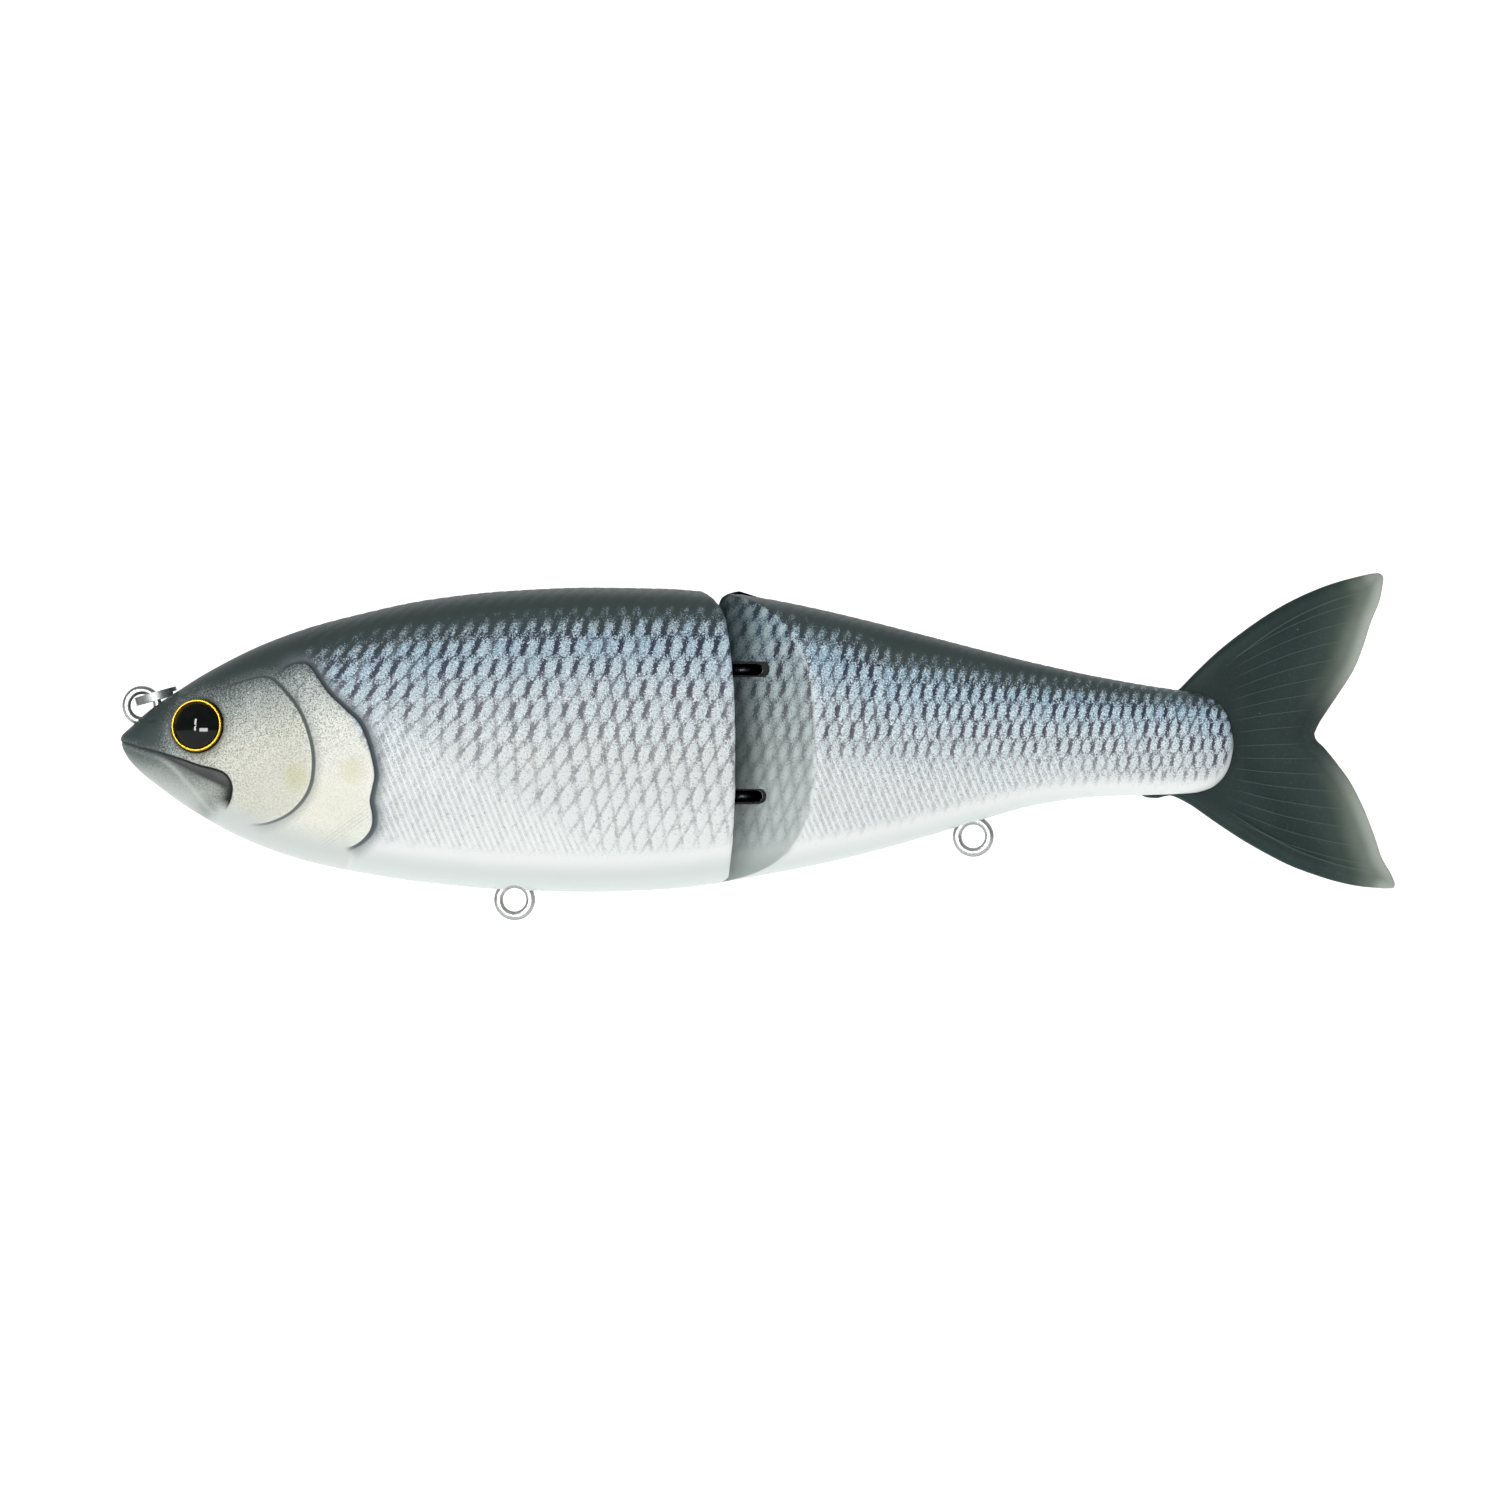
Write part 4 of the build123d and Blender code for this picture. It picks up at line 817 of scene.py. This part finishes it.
    # mouth channel and drop lines; the dark mouth channel and its wedge at the corner are painted shade under the upper
    # lip
    groove_w = mu / (mc * 1.9 + 0.50)
    col = m.mix(m.ramp(1.15, 0.25, groove_w + (grain - 0.5) * 0.35) * m.ramp(-0.12, 0.12, mu) * m.ramp(15.6, 15.0, px) * mw
                * (mc * 0.30 + 0.70), col, (12, 18, 18))
    along = m.ramp(2.0, 15.0, px)
    wz = pz + 8.0 + (px - 4.0) * 0.43
    wedge = m.ramp(1.15, 0.40, m.math("ABSOLUTE", wz) / (along * 0.95 + 0.28))
    col = m.mix(wedge * m.ramp(2.5, 5.0, px) * m.ramp(14.3, 13.0, px) * m.ramp(-0.15, 0.10, mu) * 0.88, col, (14, 20, 20))
    # gill drop lines: the dark line at each drop is the groove's dark paint and painted shadow; the softer band behind
    # it is painted shadow
    col = m.mix(g2w * m.ramp(-0.12, 0.06, g2) * m.ramp(0.98, 0.60, g2 + (grain - 0.5) * 0.3) * 0.96, col, (34, 43, 50))
    col = m.mix(g2w * m.ramp(0.0, 0.4, g2) * m.ramp(2.9, 0.5, g2 + (grain - 0.5) * 1.2) * 0.62, col, (104, 114, 120))
    col = m.mix(g1w * m.ramp(-0.12, 0.04, g1) * m.ramp(0.62, 0.34, g1) * 0.90, col, (52, 62, 64))
    col = m.mix(g1w * m.ramp(2.2, 0.3, g1 + (grain - 0.5) * 1.0) * m.ramp(-0.1, 0.1, g1) * 0.42, col, (112, 120, 120))
    fold = pz - px * 0.71
    col = m.mix(m.ramp(0.25, 0.85, m.math("SINE", fold * 9.5)) * m.ramp(-40.4, -41.4, fold) * m.ramp(-43.8, -42.8, fold)
                * m.ramp(-0.1, -0.5, g2) * m.ramp(27.5, 30.0, px) * head * 0.22, col, (146, 154, 154))
    # eye socket: the dark ring round it and the dark pit wall are painted shade
    er = m.attr("eye")
    col = m.mix(m.ramp(5.3, 4.2, er + (grain - 0.5) * 0.8) * 0.62, col, (74, 84, 84))
    col = m.mix(m.ramp(4.35, 4.2, er), col, (26, 30, 30))
    # painted shade inside the shell and the slots
    cavity_shade = m.attr("cavity_shade")
    col = m.mix(cavity_shade, col, (30, 36, 37))
    rough = m.ramp(0.3, 0.75, grain) * 0.16 + 0.36 + back * 0.12
    rough = rough * (cavity_shade * -1.0 + 1.0) + cavity_shade * 0.92
    m.bump(grain * 0.6 + m.noise(9.0, 2.0, 0.5) * 0.4, 0.00003, 0.35)
    return m.out(Base_Color=col, Roughness=rough, Metallic=0.0, Coat_Weight=0.06, Coat_Roughness=0.30, Specular_IOR_Level=0.20)


def tail_rubber():
    m = Paint("tail_soft_plastic")
    te, le, fork = m.attr("te"), m.attr("le"), m.attr("fork")
    fan, fanw, on = m.attr("fan"), m.attr("fanw"), m.attr("on")
    ray = m.math("ABSOLUTE", fan - m.math("ROUND", fan)) * fanw
    ray = m.ramp(0.15, 0.03, ray) * on + m.ramp(0.16, 0.04, m.math("ABSOLUTE", le - 2.6)) * m.attr("lead")
    grain, cloud = m.noise(2.6, 2.0, 0.6), m.noise(0.16, 3.0, 0.5)
    col = m.mix(m.ramp(0.35, 0.75, cloud), (24, 42, 41), (32, 50, 48))
    col = m.mix(m.ramp(11.0, 4.5, te + (cloud - 0.5) * 5.0) * 0.80 * fork, col, (58, 72, 66))
    col = m.mix(m.ramp(5.6, 1.4, te + (cloud - 0.5) * 2.5) * 0.85 * fork, col, (120, 130, 120))
    col = m.mix(m.ramp(2.4, 0.1, te) * (fork * 0.72 + 0.06), col, (184, 190, 181))
    col = m.mix(m.ramp(3.0, 0.0, le) * 0.25, col, (66, 82, 78))
    col = m.mix(ray * 0.30, col, (96, 113, 108))
    col = m.mix(m.ramp(0.55, 0.68, grain) * 0.10, col, (96, 108, 104))
    d, v = m.cells(1.15)
    fleck = m.ramp(0.115, 0.06, d) * m.ramp(0.66, 0.74, m.noise(1.1, 1.0, 0.5))
    col = m.mix(fleck * 0.9, col, (206, 216, 212))
    m.bump(grain, 0.00004, 0.35)
    mat = m.out(Base_Color=col, Roughness=m.ramp(0.2, 0.8, grain) * 0.14 + 0.46, Specular_IOR_Level=0.08)
    return mat


def metal(name, a, b, rough, scale=3.0, metallic=1.0, coat=0.0, wear=0.15, rim_shade=0.0):
    m = Paint(name)
    n, fine = m.noise(scale, 3.0, 0.6), m.noise(scale * 5, 2.0, 0.6, m.stretched(1.0, 1.0, 3.0))
    col = m.mix(m.ramp(0.35, 0.7, n), a, b)
    col = m.mix(m.ramp(0.62, 0.75, fine) * wear, col, tuple(int(v * 0.55) for v in a))
    # painted shade: the wire darkens towards its rims, where its normal turns away from the Y axis
    if rim_shade:
        c = m.nt.nodes.new("ShaderNodeTexCoord")
        x = m.nt.nodes.new("ShaderNodeSeparateXYZ")
        m.nt.links.new(c.outputs["Normal"], x.inputs[0])
        ny = m.math("ABSOLUTE", Num(m, x.outputs["Y"]))
        col = m.mix(m.ramp(0.62, 0.20, ny) * rim_shade, col, (70, 74, 74))
    m.bump(fine, 0.00002, 0.3)
    return m.out(Base_Color=col, Metallic=metallic, Roughness=m.ramp(0.3, 0.8, n) * 0.12 + rough, Coat_Weight=coat)


def clear_lens():
    """smoked resin dome: reads black over the black disc, with a hard gloss"""
    m = Paint("eye_smoked_resin")
    n = m.noise(0.6, 2.0, 0.5)
    col = m.mix(m.ramp(0.4, 0.7, n), (5, 7, 7), (12, 16, 15))
    return m.out(Base_Color=col, Roughness=m.ramp(0.45, 0.7, n) * 0.02 + 0.04, Specular_IOR_Level=0.22)


paint = body_paint()
rubber = tail_rubber()
mats = {
    "eye_gold": metal("eye_cup_gold", (124, 102, 28), (158, 134, 44), 0.34, 2.0),
    "eye_black": metal("eye_disc_black", (4, 6, 6), (12, 15, 15), 0.35, 2.0, 0.0, 0.0),
    "steel_wire": metal("stainless_wire", (150, 152, 150), (182, 184, 181), 0.30, 4.0, rim_shade=0.85),
    "ring_steel": metal("split_ring_steel", (104, 107, 106), (136, 139, 138), 0.38, 5.0, rim_shade=0.6),
    "black_wire": metal("black_nickel_wire", (34, 36, 40), (56, 58, 64), 0.22, 4.0),
    "pin_steel": metal("pin_steel_dark", (150, 152, 155), (182, 184, 186), 0.26, 4.0),
    "ballast": metal("ballast_brass", (176, 150, 92), (198, 172, 112), 0.40, 2.0),
}

# ------------------------------------------------------------------ shells
made = {}
for label, (X, Y, Z, S), fields, hull, x0, x1, centre in (
        ("front", (FX, FY, FZ, FS), front_fields, front_hull, 16.0, 84.5, HANGER_FRONT),
        ("rear", (RX, RY, RZ, RS), rear_fields, rear_hull, 108.0, 149.0, HANGER_REAR)):
    N, D, f = fields()
    PX, PY, PZ = X + N[..., 0] * D, Y + N[..., 1] * D, Z + N[..., 2] * D
    PY = np.maximum(PY, 0)
    PY[:, 0] = PY[:, -1] = 0
    if label == "front":
        PY[0] = PY[-1] = 0
        PX[-1] = X[-1]
    else:
        PY[0] = PY[-1] = 0
    PZ = keel_relief(PX, PZ, centre)
    inner = Hull(FRONT_SECTIONS if label == "front" else REAR_SECTIONS, hull.s_of, wall=1.8)
    for side, word in ((-1, "left"), (1, "right")):
        made[label, word] = skin_mesh(f"{label}_shell_{word}_skin", PX, PY, PZ, f, inner, x0, x1, side)

for word, side in (("left", -1), ("right", 1)):
    ob = made["rear", word]
    tools = []
    for k, (z, e) in enumerate(zip(HINGE_Z, SLOT_END_X)):
        middle = arc_slot(97.435, z, 1.865)
        ys = [(-16.0, -2.2), (-2.21, 1.0)] if side < 0 else [(2.2, 16.0), (-1.0, 2.21)]
        tools.append(block(f"slot_out_{k}", arc_slot(e, z, SLOT_H), *ys[0]))
        tools.append(block(f"slot_mid_{k}", middle, *ys[1]))
    tongue = [(155.85, -17.5), (155.85, 0.1), (157.6, 0.9), (161.6, 2.3), (161.6, 7), (176, 7), (176, -17.5)]
    t_lo, t_hi = (-1.32, 1.0) if side < 0 else (-1.0, 1.32)
    tools.append(block("slot_tail", tongue, t_lo, t_hi))
    cut(ob, tools)

for (label, word), ob in made.items():
    ob.data.materials.clear()
    ob.data.materials.append(paint)
    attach(ob, label)
    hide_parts(f"{label}_shell_{word}")


# ------------------------------------------------------------------ soft tail
def soft_tail():
    nu, nv = 150, 156
    low = curve(TONGUE_LO[::-1] + TAIL_LOWER[::-1][1:], nu + 1)
    up = curve(TONGUE_UP + TAIL_UPPER[1:], nu + 1)
    a = curve(TAIL_TIP_LO[::-1], 30)[:-1]
    b = curve(TAIL_TRAIL_LO[::-1], 200)[:-1]
    c = curve(TAIL_TRAIL_UP[::-1], 200)[:-1]
    d = curve(TAIL_TIP_UP[::-1], 30)
    trail = np.vstack([a, b, c, d])
    s = np.concatenate([[0], np.cumsum(np.hypot(*np.diff(trail, axis=0).T))])
    t = np.linspace(0, 1, nv + 1)
    tt = t * s[-1]
    T = np.column_stack([np.interp(tt, s, trail[:, 0]), np.interp(tt, s, trail[:, 1])])
    R = np.column_stack([np.interp(t, [0, 0.06, 0.94, 1], [156.51, 156.12, 156.12, 156.12]),
                         np.interp(t, [0, 0.06, 0.94, 1], [-13.89, -12.9, -2.3, -1.49])])
    u = np.linspace(0, 1, nu + 1)
    # evenly spaced columns
    ue = u + 0.0
    P = np.zeros((nu + 1, nv + 1, 2))
    for i, ui in enumerate(ue):
        k = ui * nu
        i0 = min(int(k), nu - 1)
        L = low[i0] + (k - i0) * (low[i0 + 1] - low[i0])
        U = up[i0] + (k - i0) * (up[i0 + 1] - up[i0])
        v = t[:, None]
        P[i] = ((1 - v) * L + v * U + (1 - ui) * R + ui * T
                - ((1 - ui) * (1 - v) * R[0] + (1 - ui) * v * R[-1] + ui * (1 - v) * T[0] + ui * v * T[-1]))
    X, Z = P[..., 0], P[..., 1]
    outline = np.vstack([low, trail, up[::-1]])
    d_all = np.full(X.shape, 1e9)
    for k in range(0, len(outline) - 1):
        A, B = outline[k], outline[k + 1]
        dd = B - A
        L2 = dd @ dd
        if L2 < 1e-9:
            continue
        w = np.clip(((X - A[0]) * dd[0] + (Z - A[1]) * dd[1]) / L2, 0, 1)
        d_all = np.minimum(d_all, np.hypot(X - A[0] - w * dd[0], Z - A[1] - w * dd[1]))
    te, _, _ = line_field(TAIL_TIP_LO[::-1] + TAIL_TRAIL_LO[::-1][1:] + TAIL_TRAIL_UP[::-1][1:] + TAIL_TIP_UP[::-1][1:], X, Z, 120)
    le1, _, _ = line_field(TAIL_UPPER, X, Z, 60)
    le2, _, _ = line_field(TAIL_LOWER, X, Z, 60)
    le = np.minimum(le1, le2)
    half = np.interp(X, [150, 173, 185, 198], [1.2, 1.18, 0.88, 0.55])
    edge_r = np.interp(X, [150, 164, 176, 198], [0.5, 0.8, 1.6, 1.8])
    k = np.clip(d_all / edge_r, 0, 1)
    thick = half * np.sqrt(np.maximum(1 - (1 - k)**2, 0))
    thick = np.where(X < 157, np.maximum(thick, 0), thick)
    # raised rays that fan out from the root, and the thicker leading edges
    fan = np.clip((t - 0.04) / 0.92, 0, 1) * 17
    ray = np.abs(fan - np.round(fan))[None, :] * np.hypot(*np.gradient(P, axis=1).transpose(2, 0, 1)) * nv / 17 / 0.92
    ray = np.exp(-(ray / 0.20)**2)
    on = smooth(170.5, 174.5, X) * smooth(1.2, 5.0, te) * ((np.round(fan) > 0) & (np.round(fan) < 17))[None, :]
    lead = np.exp(-((le - 2.6) / 0.24)**2) * smooth(169, 175, X) * smooth(0.6, 3.0, te)
    thick = thick + 0.05 * ray * on + 0.08 * lead + 0.05 * smooth(2.8, 1.6, le) * smooth(170, 175, X) * smooth(0.3, 1.2, d_all)
    thick[0, :] = thick[-1, :] = 0
    thick[:, 0] = thick[:, -1] = 0
    nc, nr = X.shape
    border = np.zeros(X.shape, bool)
    border[0] = border[-1] = True
    border[:, 0] = border[:, -1] = True
    idx_a = np.arange(nc * nr).reshape(nc, nr)
    idx_b = np.where(border, idx_a, 0)
    free = np.where(~border)
    idx_b[free] = nc * nr + np.arange(len(free[0]))
    co = np.vstack([np.stack([X, -thick, Z], -1).reshape(-1, 3), np.stack([X[free], thick[free], Z[free]], -1)])

    def quads(a, rev):
        q = np.stack([a[:-1, :-1], a[1:, :-1], a[1:, 1:], a[:-1, 1:]], axis=-1).reshape(-1, 4)
        return q[:, ::-1] if rev else q

    faces = np.vstack([quads(idx_a, False), quads(idx_b, True)])
    me = bpy.data.meshes.new("soft_tail")
    me.from_pydata((co * MM).tolist(), [], faces.tolist())
    me.update()
    fork = smooth(1.5, 17.0, np.hypot(X - T[:, 0][np.argmin(T[:, 0])], Z - T[:, 1][np.argmin(T[:, 0])]))
    fan_w = np.broadcast_to(np.hypot(*np.gradient(P, axis=1).transpose(2, 0, 1)) * nv / 17 / 0.92, X.shape)
    lead_on = smooth(169, 175, X) * smooth(0.6, 3.0, te)
    for key, val in (("te", te), ("le", le), ("fan", np.broadcast_to(fan[None, :], X.shape)), ("fanw", fan_w),
                     ("on", np.broadcast_to(on, X.shape)), ("fork", fork), ("lead", lead_on)):
        at = me.attributes.new(key, "FLOAT", "POINT")
        at.data.foreach_set("value", np.concatenate([val.reshape(-1), val[free]]).astype(np.float32))
    me.polygons.foreach_set("use_smooth", np.ones(len(faces), bool))
    ob = bpy.data.objects.new("soft_tail", me)
    scene.collection.objects.link(ob)
    ob.data.materials.append(rubber)
    return ob


tail = soft_tail()
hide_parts("tail_root", "tail_fin")
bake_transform(tail, "rear", "tail", start=(0.1705, 0, 0), end=(0.176, 0, 0))

# ------------------------------------------------------------------ CAD nodes that stay: finishes
slot_of = {
    "eye_cup_left": "eye_gold", "eye_cup_right": "eye_gold", "eye_pupil_left": "eye_black", "eye_pupil_right": "eye_black",
    "nose_eye": "steel_wire", "belly_hanger_front": "steel_wire", "belly_hanger_rear": "steel_wire",
    "line_tie_split_ring": "ring_steel", "hinge_eye_upper": "black_wire", "hinge_eye_lower": "black_wire",
    "hinge_pin": "pin_steel", "tail_lock_pin": "pin_steel",
    "nose_ballast": "ballast", "front_ballast": "ballast", "rear_ballast": "ballast"}
lens = clear_lens()
for n, ob in nodes.items():
    if n in slot_of:
        ob.data.materials.clear()
        ob.data.materials.append(mats[slot_of[n]])
    elif n.startswith("eye_lens"):
        ob.data.materials.clear()
        ob.data.materials.append(lens)

# ------------------------------------------------------------------ stage
pale = Paint("pale_backdrop")
pn = pale.noise(0.02, 2.0, 0.5)
pale.out(Base_Color=pale.mix(pn, (246, 246, 246), (250, 250, 250)), Roughness=0.9, Specular_IOR_Level=0.1,
         Emission_Strength=0.62)
pale.bsdf.inputs["Emission Color"].default_value = (1, 1, 1, 1)


def sweep():
    """a floor that curves up into a back wall"""
    prof = [(-2.4, -0.17)] + [(y, -0.17) for y in np.linspace(-1.5, 1.1, 14)]
    prof += [(1.1 + 0.6 * sin(a), 0.43 - 0.6 * cos(a)) for a in np.linspace(0.12, pi / 2, 14)]
    prof += [(1.7, 0.9), (1.7, 2.2)]
    xs = np.linspace(-2.2, 2.4, 9)
    co = [(x, y, z) for x in xs for y, z in prof]
    n = len(prof)
    faces = [[i * n + k, (i + 1) * n + k, (i + 1) * n + k + 1, i * n + k + 1] for i in range(len(xs) - 1) for k in range(n - 1)]
    me = bpy.data.meshes.new("floor_sweep")
    me.from_pydata(co, [], faces)
    me.polygons.foreach_set("use_smooth", np.ones(len(faces), bool))
    me.materials.append(pale.mat)
    ob = bpy.data.objects.new("floor_sweep", me)
    scene.collection.objects.link(ob)
    return ob


sweep()


def area(name, place, target, size, watts, colour=(1, 1, 1), glossy=True):
    light = bpy.data.lights.new(name, "AREA")
    light.shape, light.size, light.energy, light.color = "DISK", size, watts, colour
    ob = bpy.data.objects.new(name, light)
    ob.location = place
    ob.rotation_euler = (Vector(target) - Vector(place)).to_track_quat("-Z", "Y").to_euler()
    ob.visible_camera = False
    ob.visible_glossy = glossy
    scene.collection.objects.link(ob)
    return ob


area("key_soft", (0.02, -0.75, 0.85), (0.09, 0, -0.01), 0.9, 3.7, glossy=False)
area("fill_front", (0.35, -1.3, 0.10), (0.09, 0, -0.01), 0.8, 2.0, glossy=False)
area("back_top", (0.1, 0.7, 0.9), (0.09, 0, 0), 0.8, 1.6)



def strip(name, place, target, w, h, watts):
    ob = area(name, place, target, w, watts)
    ob.data.shape, ob.data.size, ob.data.size_y = "RECTANGLE", w, h
    ob.visible_diffuse = False
    return ob


strip("strip_tall", (-0.455, -0.87, 0.20), (0.009, 0, -0.003), 0.10, 0.62, 8.0)
strip("strip_low", (-0.04, -1.15, -0.07), (0.009, 0, -0.003), 0.50, 0.20, 11.0)

world = bpy.data.worlds.new("soft_white")
world.use_nodes = True
world.node_tree.nodes["Background"].inputs[0].default_value = (1, 1, 1, 1)
world.node_tree.nodes["Background"].inputs[1].default_value = 0.30
scene.world = world
scene.view_settings.view_transform = "Standard"

cam = bpy.data.cameras.new("camera")
cam.lens, cam.sensor_width, cam.clip_end = 300.0, 36.0, 20.0
cam_ob = bpy.data.objects.new("camera", cam)
cam_ob.location = (0.09545, -0.2355 * 300 / 36, -0.00699)
cam_ob.rotation_euler = (pi / 2, 0, 0)
scene.collection.objects.link(cam_ob)
scene.camera = cam_ob
